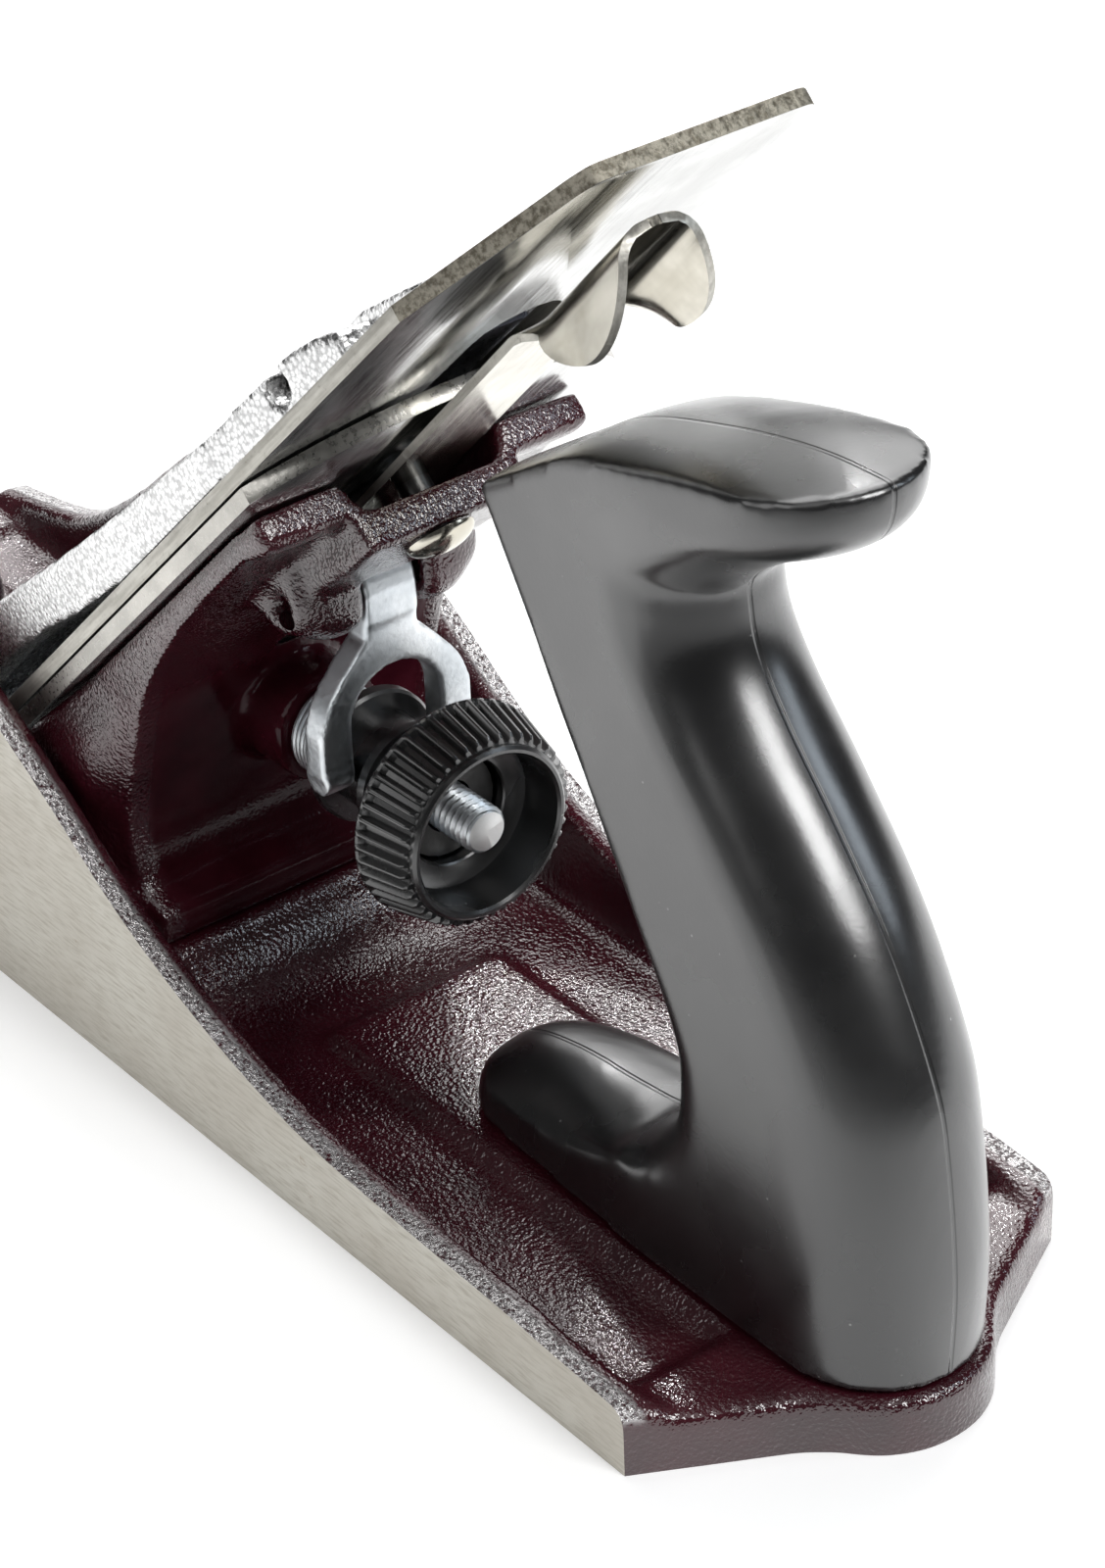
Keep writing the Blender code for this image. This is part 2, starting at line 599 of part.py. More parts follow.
def cutter(bed):
    half = CUTTER_WIDTH / 2
    end_half = CUTTER_END_WIDTH / 2
    round_top = CUTTER_CORNER_RADIUS
    left_corner = curve([(CUTTER_TOP - round_top, end_half + round_top * 0.45), (CUTTER_TOP - 0.4, end_half - 0.5),
                         (CUTTER_TOP, end_half - round_top)], 4)
    left = [(CUTTER_EDGE, half), (CUTTER_SHOULDER, half)] + left_corner
    outline = left + [(s, -y) for s, y in reversed(left)]
    iron_axis = (-IRON_SCREW_S, 0, CUTTER_N)
    plate = piece("cutter", prism(bed_outline(outline), CUTTER_N, CUTTER_FACE, "Z"), STEEL, iron_axis, bed)
    slot = slot_outline(SLOT_LOW, SLOT_HIGH - SLOT_WIDTH / 2, SLOT_WIDTH / 2)
    cut(plate, prism(bed_outline(slot), CUTTER_N - 1, CUTTER_FACE + 1, "Z"), bed)
    cut(plate, rod(SLOT_HOLE_RADIUS, CUTTER_N - 1, CUTTER_FACE + 1, "Z", (-SLOT_LOW, 0)), bed)
    rise = math.tan(math.radians(CUTTER_BEVEL_ANGLE))
    run = 4 * CUTTER_THICKNESS
    bevel = [(-CUTTER_EDGE + 1, CUTTER_N - rise), (-CUTTER_EDGE - run, CUTTER_N + run * rise),
             (-CUTTER_EDGE + 1, CUTTER_N + run * rise)]
    cut(plate, prism(bevel, -CUTTER_WIDTH, CUTTER_WIDTH, "Y"), bed)


def cap_iron(bed):
    half = CUTTER_WIDTH / 2
    rise = CAP_IRON_TOP - CAP_IRON_SHOULDER
    radius = (half ** 2 + rise ** 2) / (2 * rise)
    sweep = math.degrees(math.asin(half / radius))
    arch = arc((CAP_IRON_TOP - radius, 0), radius, sweep, -sweep, 18)
    outline = [(CAP_IRON_LOW, half)] + arch + [(CAP_IRON_LOW, -half)]
    low, high = CAP_IRON_N, CAP_IRON_N + CAP_IRON_THICKNESS
    iron_axis = (-IRON_SCREW_S, 0, CAP_IRON_N)
    plate = piece("cap_iron", prism(bed_outline(outline), low, high, "Z"), STEEL, iron_axis, bed)
    cut(plate, rod(IRON_SCREW_RADIUS + BORE_CLEARANCE, low - 1, high + 1, "Z", (-IRON_SCREW_S, 0), 24), bed)
    reach = IRON_TRAVEL + 2 * GAP
    screw_half = CAP_SCREW_RADIUS + 2 * GAP
    slot = slot_outline(CAP_SCREW_S - reach, CAP_SCREW_S + reach, screw_half)
    cut(plate, prism(bed_outline(slot), low - 1, high + 1, "Z"), bed)
    tip = YOKE_TIP_THICKNESS / 2 + 1.5 * GAP
    half = YOKE_STEM_WIDTH / 2 + 2 * GAP
    window = [(YOKE_PIN_S - tip, half), (YOKE_PIN_S + tip, half), (YOKE_PIN_S + tip, -half), (YOKE_PIN_S - tip, -half)]
    cut(plate, prism(bed_outline(window), low - 1, high + 1, "Z"), bed)
    disc_s = LATERAL_PIVOT_S - LATERAL_DISC_SETBACK
    slot = slot_outline(disc_s - IRON_TRAVEL / 2, disc_s + IRON_TRAVEL, SLOT_WIDTH / 2)
    cut(plate, prism(bed_outline(slot), low - 1, high + 1, "Z"), bed)


def cap_iron_screw(bed):
    tip = CAP_IRON_N + 0.1
    head_low = CUTTER_FACE + GAP
    head_top = head_low + IRON_SCREW_HEAD_HEIGHT
    profile = [(0, tip), (IRON_SCREW_RADIUS, tip), (IRON_SCREW_RADIUS, head_low), (IRON_SCREW_HEAD_RADIUS, head_low),
               (IRON_SCREW_HEAD_RADIUS, head_top - 0.6), (IRON_SCREW_HEAD_RADIUS - 0.6, head_top), (0, head_top)]
    axis = (-IRON_SCREW_S, 0)
    piece("cap_iron_screw", turned(profile, centre=axis, sides=28), STEEL, (*axis, head_low), bed)


# Depth adjuster

def yoke():
    """Forked lever: its arms sit in the wheel's groove and its tip in the cap iron's window."""
    arm_outer = YOKE_FORK_HALF + YOKE_ARM_WIDTH
    stem = YOKE_STEM_WIDTH / 2 - GAP
    arm_top = STUD_HEIGHT + GROOVE_RADIUS + 2.5
    neck = YOKE_PIN_Z - LUG_RADIUS - 1.2
    foot_z = STUD_HEIGHT + YOKE_ARM_RAISE
    shoulder = curve([(arm_outer, arm_top), (arm_outer - 1.6, arm_top + 4.2), (stem + 1.4, neck - 1.4),
                      (stem, neck)], 4)
    right = [(YOKE_FORK_HALF, foot_z), (arm_outer, foot_z)] + shoulder + [(stem, YOKE_PIN_Z)]
    crotch = arc((0, arm_top), YOKE_FORK_HALF, 180, 0, 14)
    outline = right + [(-y, z) for y, z in reversed(right)] + crotch
    low, high = YOKE_X - YOKE_THICKNESS / 2, YOKE_X + YOKE_THICKNESS / 2
    pin = (YOKE_PIN_X, 0, YOKE_PIN_Z)
    lever = piece("yoke", prism(outline, low, high, "X"), ZINC, pin)
    for side in (-1, 1):
        ends = sorted((side * (YOKE_FORK_HALF + 0.2), side * (arm_outer - 0.2)))
        fuse(lever, rod(YOKE_FOOT_RADIUS, *ends, "Y", (YOKE_X, foot_z), 20))
    half = YOKE_TIP_THICKNESS / 2
    turn = math.degrees(math.acos(half / YOKE_HUB_RADIUS))
    tip_n = CAP_IRON_N + CAP_IRON_THICKNESS + GAP / 2
    hub = arc((YOKE_PIN_S, -YOKE_PIN_DEPTH), YOKE_HUB_RADIUS, 180 - turn, 360 + turn, 18)
    points = [(YOKE_PIN_S - half, tip_n)] + hub + [(YOKE_PIN_S + half, tip_n)]
    fuse(lever, prism([bed_point(s, n) for s, n in points], -stem, stem, "Y"))
    cut(lever, rod(YOKE_PIN_RADIUS + BORE_CLEARANCE, -FROG_HALF, FROG_HALF, "Y", (YOKE_PIN_X, YOKE_PIN_Z), 16))


def yoke_pin():
    reach = YOKE_STEM_WIDTH / 2 + GAP + LUG_WIDTH - YOKE_PIN_RECESS
    pin = rod(YOKE_PIN_RADIUS, -reach, reach, "Y", (YOKE_PIN_X, YOKE_PIN_Z), 16)
    piece("yoke_pin", pin, STEEL)


def depth_stud():
    tip = STUD_TIP_X
    seat = STUD_BOSS_X + STUD_SEAT_DEPTH
    profile = [(0, tip), (STUD_RADIUS - STUD_TIP_CHAMFER, tip), (STUD_RADIUS, tip + STUD_TIP_CHAMFER),
               (STUD_RADIUS, STUD_COLLAR_X),
               (STUD_COLLAR_RADIUS, STUD_COLLAR_X), (STUD_COLLAR_RADIUS, STUD_BOSS_X - GAP),
               (STUD_RADIUS, STUD_BOSS_X - GAP), (STUD_RADIUS, seat), (0, seat)]
    piece("depth_stud", turned(profile, "X", (0, STUD_HEIGHT), 24), ZINC)


def wheel_bush():
    bore = STUD_RADIUS + BORE_CLEARANCE
    flange_front = POCKET_FLOOR - GAP
    flange_rear = flange_front - BUSH_FLANGE_THICKNESS
    flange = BUSH_RADIUS + BUSH_FLANGE
    profile = [(bore, flange_rear), (flange, flange_rear), (flange, flange_front), (BUSH_RADIUS, flange_front),
               (BUSH_RADIUS, HUB_FRONT), (bore, HUB_FRONT)]
    axis = (GROOVE_REAR, 0, STUD_HEIGHT)
    piece("wheel_bush", turned(profile, "X", (0, STUD_HEIGHT), 24, closed=True), ZINC, axis)


def depth_wheel():
    """Ribbed cup on a grooved hub, with a pocket for the flange of the bush."""
    cup = WHEEL_REAR_RADIUS - WHEEL_RIM
    pocket = BUSH_RADIUS + BUSH_FLANGE + GAP
    taper = (WHEEL_FRONT_RADIUS - WHEEL_REAR_RADIUS) / WHEEL_LENGTH
    rib_rear = WHEEL_REAR + WHEEL_BAND
    rib_front = WHEEL_FRONT - WHEEL_BAND
    rear_band = WHEEL_REAR_RADIUS + taper * WHEEL_BAND
    front_band = WHEEL_FRONT_RADIUS - taper * WHEEL_BAND
    profile = [(WHEEL_BORE, POCKET_FLOOR, 0), (pocket, POCKET_FLOOR, 0), (pocket, CUP_FLOOR, 0),
               (cup, CUP_FLOOR, 0), (cup, WHEEL_REAR, 0),
               (WHEEL_REAR_RADIUS - WHEEL_RIB_DEPTH, WHEEL_REAR, 0),
               (rear_band - WHEEL_RIB_DEPTH, rib_rear, 0), (rear_band, rib_rear, 1), (front_band, rib_front, 1),
               (front_band, WHEEL_FRONT, 0), (HUB_RADIUS, WHEEL_FRONT, 0), (HUB_RADIUS, GROOVE_REAR, 0),
               (GROOVE_RADIUS, GROOVE_REAR, 0), (GROOVE_RADIUS, GROOVE_FRONT, 0), (HUB_RADIUS, GROOVE_FRONT, 0),
               (HUB_RADIUS, HUB_FRONT, 0), (WHEEL_BORE, HUB_FRONT, 0)]
    sides = 2 * WHEEL_RIBS
    rings = []
    for radius, x, ribbed in profile:
        ring = []
        for index in range(sides):
            angle = 2 * math.pi * index / sides
            reach = radius - ribbed * WHEEL_RIB_DEPTH * (index % 2)
            ring.append((x, reach * math.cos(angle), STUD_HEIGHT + reach * math.sin(angle)))
        rings.append(ring)
    piece("depth_wheel", stack_rings(rings, closed=True), BLACK_PLASTIC, (GROOVE_REAR, 0, STUD_HEIGHT))


# Lateral adjuster

def lateral_half_width(along):
    """Half the flat width of the lever at a distance from its pivot."""
    if along < -LATERAL_DISC_SETBACK:
        drop = along + LATERAL_DISC_SETBACK
        return math.sqrt(max((LATERAL_WIDTH / 2) ** 2 - drop ** 2, 0.04))
    tab = TAB_RADIUS ** 2 - (along - LATERAL_LENGTH + TAB_RADIUS) ** 2
    return max(math.sqrt(max(tab, 0.16)), LATERAL_WIDTH / 2 if along < LATERAL_LENGTH - TAB_RADIUS else 0)


def lateral_section(along, across):
    """Sideways place, drop and slope of a point of the folded plate."""
    share = min(max((along - TAB_FOLD_START) / TAB_FOLD_LENGTH, 0), 1)
    fold = math.radians(TAB_FOLD_ANGLE) * share ** 2 * (3 - 2 * share)
    side = math.copysign(1, across)
    bend = max(abs(across) - TAB_FOLD_FLAT, 0)
    angle = min(bend / TAB_FOLD_RADIUS, fold)
    straight = bend - TAB_FOLD_RADIUS * angle
    y = min(abs(across), TAB_FOLD_FLAT) + TAB_FOLD_RADIUS * math.sin(angle) + straight * math.cos(angle)
    drop = TAB_FOLD_RADIUS * (1 - math.cos(angle)) + straight * math.sin(angle)
    return side * y, drop, side * angle


def lateral_lever(bed):
    """Flat strip whose round end is folded down into a thumb tab."""
    low = -LATERAL_DISC_SETBACK - LATERAL_WIDTH / 2
    ends = [low + 0.1, low + 0.8, low + 2.2, -LATERAL_DISC_SETBACK - 1.5, -LATERAL_DISC_SETBACK]
    fold = [TAB_FOLD_START + step for step in range(0, 28, 2)]
    tip = [LATERAL_LENGTH - drop for drop in (1.6, 0.7, 0.2, 0.02)]
    columns = 18
    rings = []
    for along in ends + fold + tip:
        half = lateral_half_width(along)
        upper, lower = [], []
        for column in range(columns + 1):
            y, drop, angle = lateral_section(along, half * (2 * column / columns - 1))
            middle = LATERAL_N + LATERAL_THICKNESS / 2 - drop
            dy = math.sin(angle) * LATERAL_THICKNESS / 2
            dn = math.cos(angle) * LATERAL_THICKNESS / 2
            upper.append((-LATERAL_PIVOT_S - along, y + dy, middle + dn))
            lower.append((-LATERAL_PIVOT_S - along, y - dy, middle - dn))
        rings.append(upper + lower[::-1])
    pivot = (-LATERAL_PIVOT_S, 0, LATERAL_N)
    lever = piece("lateral_lever", stack_rings(rings), NICKEL, pivot, bed)
    lever.rotation_euler = (0, 0, math.radians(LATERAL_REST_TILT))
    hole = LATERAL_RIVET_RADIUS + BORE_CLEARANCE
    cut(lever, rod(hole, LATERAL_N - 1, LATERAL_FACE + 1, "Z", (-LATERAL_PIVOT_S, 0), 16), bed)
    disc_low = LATERAL_FACE + GAP - LATERAL_N
    disc_top = CAP_IRON_N + CAP_IRON_THICKNESS - LATERAL_N
    disc = rod(LATERAL_DISC_RADIUS, disc_low, disc_top, "Z", (LATERAL_DISC_SETBACK, 0), 28)
    piece("lateral_disc", disc, STEEL, (LATERAL_DISC_SETBACK, 0, disc_low), lever)


def lateral_rivet(bed):
    head_low = LATERAL_FACE + GAP
    head_top = head_low + 0.5
    dome_top = -LEDGE_DEPTH - GAP
    dome = LATERAL_RIVET_DOME_RADIUS
    height = LATERAL_RIVET_DOME_HEIGHT
    domed = [(dome * math.cos(math.radians(a)), dome_top - height * math.sin(math.radians(a))) for a in (0, 30, 60)]
    profile = [(0, head_top), (LATERAL_RIVET_HEAD_RADIUS, head_top), (LATERAL_RIVET_HEAD_RADIUS, head_low),
               (LATERAL_RIVET_RADIUS, head_low), (LATERAL_RIVET_RADIUS, dome_top)] + domed + [(0, dome_top - height)]
    piece("lateral_rivet", turned(profile, centre=(-LATERAL_PIVOT_S, 0), sides=24), NICKEL, parent=bed)


# Lever cap, its cam and its spring

CAP_CROWN = [(CAP_LOW, 2.2), (CAP_LOW + 7, 5.6), (28, 8.2), (42, 9.8), (57, 9.7), (73, 8.1), (89, 6.7), (104, 5.7),
             (118, 5.0), (128, 5.5), (138, 5.9), (CAP_TOP - 4, 5.3), (CAP_TOP, 4.1)]
CAP_ARCH = [(CAP_LOW, 0.0), (CAP_LOW + 6, 0.0), (28, 2.4), (48, 3.2), (64, 2.4), (86, 0.0), (CAP_TOP, 0.0)]
CAP_LINE = curve(CAP_CROWN, 3)
CAM_PIN_N = CUTTER_FACE + CAM_PIN_HEIGHT
CAM_OPENING = CAM_PIN_S - CAM_NOSE_RADIUS - 4


def cap_half_width(s):
    return level([(CAP_TAPER_START, CAP_WIDTH / 2), (CAP_TOP, CAP_TOP_WIDTH / 2)], s)


def cap_top_n(s):
    return CUTTER_FACE + level(CAP_LINE, s)


def lever_cap(bed):
    under = [(s, CAP_N + lift) for s, lift in curve(CAP_ARCH, 2)]
    upper = [(s, CUTTER_FACE + rise) for s, rise in CAP_LINE]
    side = [(-s, n) for s, n in under + upper[::-1]]
    cap = piece("lever_cap", prism(side, -CAP_WIDTH / 2, CAP_WIDTH / 2, "Y"), CHROME, parent=bed)
    edge = curve([(CAP_TAPER_START, CAP_WIDTH / 2), (CAP_TOP - 16, cap_half_width(CAP_TOP - 16)),
                  (CAP_TOP, CAP_TOP_WIDTH / 2)], 4)
    left = [(CAP_LOW - 5, CAP_WIDTH / 2)] + edge + [(CAP_TOP + 5, CAP_TOP_WIDTH / 2)]
    plan = left + [(s, -y) for s, y in reversed(left)]
    shape(cap, "INTERSECT", prism(bed_outline(plan), 0, 30, "Z"), bed)
    roof = [(s, n - CAP_PLATE) for s, n in upper if CAP_LOW + 12 < s < CAM_OPENING]
    roof.append((CAM_OPENING, cap_top_n(CAM_OPENING) - CAP_PLATE))
    hollow = [(roof[0][0], CAP_N - 3)] + roof + [(CAM_OPENING, CAP_N - 3)]
    half = CAP_WIDTH / 2 - CAP_WALL
    cut(cap, prism([(-s, n) for s, n in hollow], -half, half, "Y"), bed)
    half = CAM_WIDTH / 2 + GAP
    opening = [(CAM_OPENING - 1, half), (CAP_TOP + 5, half), (CAP_TOP + 5, -half), (CAM_OPENING - 1, -half)]
    cut(cap, prism(bed_outline(opening), 0, 30, "Z"), bed)
    keyhole_low = CAP_SCREW_S - KEYHOLE_DROP
    slot = slot_outline(keyhole_low, CAP_SCREW_S, CAP_SCREW_RADIUS + 2 * GAP)
    cut(cap, prism(bed_outline(slot), CAP_N, 30, "Z"), bed)
    cut(cap, rod(CAP_SCREW_HEAD_RADIUS + 2 * GAP, CAP_N, 30, "Z", (-keyhole_low, 0)), bed)
    cut(cap, rod(CAM_PIN_RADIUS + BORE_CLEARANCE, -CAP_WIDTH, CAP_WIDTH, "Y", (-CAM_PIN_S, CAM_PIN_N), 16), bed)
    rivet_top = cap_top_n(SPRING_RIVET_S) + 2
    cut(cap, rod(SPRING_RIVET_RADIUS + BORE_CLEARANCE, CAP_N, rivet_top, "Z", (-SPRING_RIVET_S, 0), 16), bed)


def lever_cap_screw(bed):
    seat = cap_top_n(CAP_SCREW_S - CAP_SCREW_HEAD_RADIUS) + GAP
    top = seat + CAP_SCREW_HEAD_HEIGHT
    profile = [(0, -CAP_SCREW_DEPTH), (CAP_SCREW_RADIUS, -CAP_SCREW_DEPTH), (CAP_SCREW_RADIUS, seat),
               (CAP_SCREW_HEAD_RADIUS, seat), (CAP_SCREW_HEAD_RADIUS, top - 1.2), (CAP_SCREW_HEAD_RADIUS - 1.5, top),
               (0, top)]
    piece("lever_cap_screw", turned(profile, centre=(-CAP_SCREW_S, 0), sides=28), STEEL, parent=bed)


def cam_lever(bed):
    """Thumb lever: a round nose on the pin and a tail that tapers to a thin end."""
    nose = arc((CAM_PIN_S, CAM_PIN_N), CAM_NOSE_RADIUS, 270, 90, 12)
    end = CAM_PIN_S + CAM_LENGTH
    floor = CUTTER_FACE + 3 * GAP
    crown = CAM_PIN_N + CAM_HEIGHT
    tail = curve([(CAM_PIN_S + 10, crown), (CAM_PIN_S + 19, crown - 1.6), (end - 1.2, floor + 2.0),
                  (end, floor + 0.9), (end - 1.2, floor), (CAM_PIN_S + 14, floor)], 4)
    rise = curve([nose[-1], (CAM_PIN_S + 5, crown - 0.1), tail[0]], 3)
    side = [(-s, n) for s, n in nose[:-1] + rise[:-1] + tail]
    pin = (-CAM_PIN_S, 0, CAM_PIN_N)
    half = CAM_WIDTH / 2
    lever = piece("cam_lever", prism(side, -half, half, "Y"), CHROME, pin, bed)
    corner = 7.0
    left = [(CAM_PIN_S - 5, half), (end - corner, half)] + arc((end - corner, half - corner), corner, 90, 0, 6)[1:]
    plan = left + [(s, -y) for s, y in reversed(left)]
    shape(lever, "INTERSECT", prism(bed_outline(plan), 0, 30, "Z"), bed)
    cut(lever, rod(CAM_PIN_RADIUS + BORE_CLEARANCE, -CAP_WIDTH, CAP_WIDTH, "Y", (-CAM_PIN_S, CAM_PIN_N), 16), bed)


def cam_pin(bed):
    reach = cap_half_width(CAM_PIN_S) - CAM_PIN_RECESS
    piece("cam_pin", rod(CAM_PIN_RADIUS, -reach, reach, "Y", (-CAM_PIN_S, CAM_PIN_N), 16), STEEL, parent=bed)


def lever_cap_spring(bed):
    """Leaf spring: riveted under the cap plate and bent down to lie under the cam."""
    rivet_seat = cap_top_n(SPRING_RIVET_S + 4) - CAP_PLATE - GAP
    rest = CUTTER_FACE + GAP
    upper_n = rivet_seat - SPRING_THICKNESS
    line = [(SPRING_LOW, upper_n), (SPRING_RIVET_S + 4, upper_n), (CAP_TAPER_START, rest + 0.1), (SPRING_HIGH, rest)]
    outline = line + [(s, n + SPRING_THICKNESS) for s, n in reversed(line)]
    half = SPRING_WIDTH / 2
    leaf = piece("lever_cap_spring", prism([(-s, n) for s, n in outline], -half, half, "Y"), SPRING_STEEL, parent=bed)
    hole = SPRING_RIVET_RADIUS + BORE_CLEARANCE
    cut(leaf, rod(hole, 0, 30, "Z", (-SPRING_RIVET_S, 0), 16), bed)
    head_top = upper_n - GAP
    head_low = head_top - 0.8
    tail = cap_top_n(SPRING_RIVET_S) - 0.4
    profile = [(0, head_low), (SPRING_RIVET_HEAD, head_low), (SPRING_RIVET_HEAD, head_top),
               (SPRING_RIVET_RADIUS, head_top), (SPRING_RIVET_RADIUS, tail), (0, tail)]
    piece("spring_rivet", turned(profile, centre=(-SPRING_RIVET_S, 0), sides=16), STEEL, parent=bed)


# Handles

TOTE_BACK = [(7.0, -16.8), (20, -17.4), (35, -16.0), (44, -13.8), (57, -6.9), (68, 1.6), (77, 9.4), (83, 13.4),
             (88, 14.7), (92, 14.0), (98.3, 5.0), (102.4, -2.6), (105.4, -5.7), (108.5, -6.7), (112, -6.7)]
TOTE_FRONT = [(7.0, 59.5), (10.5, 58.4), (14.2, 54.0), (16.6, 45), (17.8, 34), (19.4, 26.0), (25, 21.0), (33, 19.6),
              (40.5, 21.0), (55, 28.8), (75, 40.6), (88, 48.4), (92, 50.8), (112, 62)]
TOTE_TOE = [(20.3, 31), (21.6, 25), (26, 19.0), (34, 17.4), (45, 16.2), (54, 13.8), (58, 10.3), (60.5, 4)]
TOTE_TOP = [(-12, 111.3), (-5, 111.0), (2, 110.6), (9.5, 109.4), (18.5, 107.2), (31, 103.1), (41, 97), (62, 83)]


def tote_section(z):
    """Level section of the tote: round behind, flat sided, lightly rounded in front."""
    half = level([(15, TOTE_BASE_WIDTH / 2), (50, TOTE_GRIP_WIDTH / 2 + 0.5), (75, TOTE_GRIP_WIDTH / 2),
                  (92, TOTE_GRIP_WIDTH / 2), (102, TOTE_HORN_WIDTH / 2)], z)
    back = level(TOTE_BACK, z)
    front = level(TOTE_FRONT, z)
    round_back = half * 1.1
    round_front = level([(20, 10.0), (45, 7.5), (70, 4.0), (90, 2.5)], z)
    side = []
    for step in range(9):
        angle = math.radians(90 * step / 8)
        side.append((back + round_back * (1 - math.cos(angle)), half * math.sin(angle)))
    run = front - round_front - back - round_back
    for step in range(1, 4):
        side.append((back + round_back + run * step / 4, half))
    for step in range(9):
        angle = math.radians(90 * step / 8)
        side.append((front - round_front * (1 - math.sin(angle)), half * math.cos(angle)))
    shaped = [(HEEL_CORNER + x, y * (1 - TOTE_WIDTH_LOSS * max(x - 20, 0))) for x, y in side]
    return shaped + [(x, -y) for x, y in reversed(shaped[1:-1])]


def crowned_tool(line, crown, roof):
    """Tool that leaves a crest along a line of x and z, falling away to both sides by the crown at each x."""
    slices = []
    for step in range(13):
        y = TOTE_BASE_WIDTH * (step / 6 - 1)
        edge = [(HEEL_CORNER + x, y, z - crown(x) * y * y) for x, z in line]
        slices.append(edge + [(HEEL_CORNER + x, y, z) for x, z in roof])
    return stack_rings(slices)


def tote():
    lift = TOTE_BASE - TOTE_BACK[0][0]
    levels = [7, 9, 11, 13, 14.6, 15.9, 16.8, 17.4, 18, 19.4, 22, 26, 32, 40, 48, 56, 64, 72, 78, 82, 86, 90, 92.5,
              95, 97.5, 100, 102, 104, 105.5, 107, 108.5, 112]
    rings = [[(x, y, z + lift) for x, y in tote_section(z)] for z in levels]
    handle = piece("tote", stack_rings(rings), BLACK_PLASTIC)
    crest = [(x, z + lift) for x, z in curve(TOTE_TOP, 3)]
    sky = 2 * TOTE_TOP[0][1]
    cut(handle, crowned_tool(crest, lambda x: TOTE_TOP_CROWN, [(crest[-1][0], sky), (crest[0][0], sky)]))
    toe = [(x, z + lift) for x, z in curve(TOTE_TOE, 3)]
    share = [(22, 0.0), (34, 0.75), (42, 1.0)]
    cut(handle, crowned_tool(toe, lambda x: TOTE_TOE_CROWN * level(share, x), [(toe[-1][0] + 1, toe[0][1])]))
    for offset in (TOTE_SCREW_REAR, TOTE_SCREW_FRONT):
        centre = (HEEL_CORNER + offset, 0)
        top = TOTE_BASE + INSERT_LENGTH + 2 * GAP
        cut(handle, rod(INSERT_RADIUS + GAP, TOTE_BASE - 1, top, centre=centre, sides=20))


def handle_fastening(name, x, base, insert_length):
    """Screw up through the sole and the threaded insert that it draws down."""
    low = HANDLE_SCREW_RECESS
    cone = low + HANDLE_SCREW_HEAD_HEIGHT
    tip = base + insert_length - GAP
    profile = [(0, low), (HANDLE_SCREW_HEAD_RADIUS, low), (HANDLE_SCREW_RADIUS, cone), (HANDLE_SCREW_RADIUS, tip),
               (0, tip)]
    piece(name + "_screw", turned(profile, centre=(x, 0), sides=20), STEEL)
    sleeve = [(INSERT_BORE, base), (INSERT_RADIUS, base), (INSERT_RADIUS, base + insert_length),
              (INSERT_BORE, base + insert_length)]
    piece(name + "_insert", turned(sleeve, centre=(x, 0), sides=20, closed=True), BRASS)


def front_knob():
    base = KNOB_BOSS_HEIGHT + GAP
    bore = INSERT_RADIUS + GAP
    outer = curve([(13.0, 0), (13.2, 3), (11.0, 10), (9.6, 18), (10.6, 26), (14.0, 34), (15.8, 42), (14.8, 49),
                   (10.0, 54.6), (4.0, KNOB_HEIGHT - 0.4)], 2)
    bore_top = KNOB_INSERT_LENGTH + 2 * GAP
    profile = [(0, base + KNOB_HEIGHT)] + [(r, base + h) for r, h in reversed(outer)]
    profile += [(bore, base), (bore, base + bore_top), (0, base + bore_top)]
    piece("front_knob", turned(profile, centre=(KNOB_X, 0), sides=36), BLACK_PLASTIC)


def main():
    for old in list(bpy.data.objects):
        bpy.data.objects.remove(old)
    bed = bpy.data.objects.new("bed_frame", None)
    bed.location = (BED_FOOT * MM, 0, 0)
    bed.rotation_euler = (0, math.radians(BED_ANGLE), 0)
    bpy.context.scene.collection.objects.link(bed)

    body_casting()
    frog(bed)
    frog_fasteners()
    cutter(bed)
    cap_iron(bed)
    cap_iron_screw(bed)
    yoke()
    yoke_pin()
    depth_stud()
    wheel_bush()
    depth_wheel()
    lateral_lever(bed)
    lateral_rivet(bed)
    lever_cap(bed)
    lever_cap_screw(bed)
    cam_lever(bed)
    cam_pin(bed)
    lever_cap_spring(bed)
    tote()
    front_knob()
    handle_fastening("tote_rear", HEEL_CORNER + TOTE_SCREW_REAR, TOTE_BASE, INSERT_LENGTH)
    handle_fastening("tote_front", HEEL_CORNER + TOTE_SCREW_FRONT, TOTE_BASE, INSERT_LENGTH)
    handle_fastening("knob", KNOB_X, KNOB_BOSS_HEIGHT + GAP, KNOB_INSERT_LENGTH)


main()
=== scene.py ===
"""Looks of the bench plane: enamelled casting, plated steel and moulded plastic in a white studio.

Sizes are in millimetres and MM turns them into metres. Pieces on the sloping bed are modelled in the bed's
own frame, whose x runs down the bed from the top, y to the left and z out of the bed.
"""

import json
import math

import bmesh
import bpy
from mathutils import Matrix, Vector

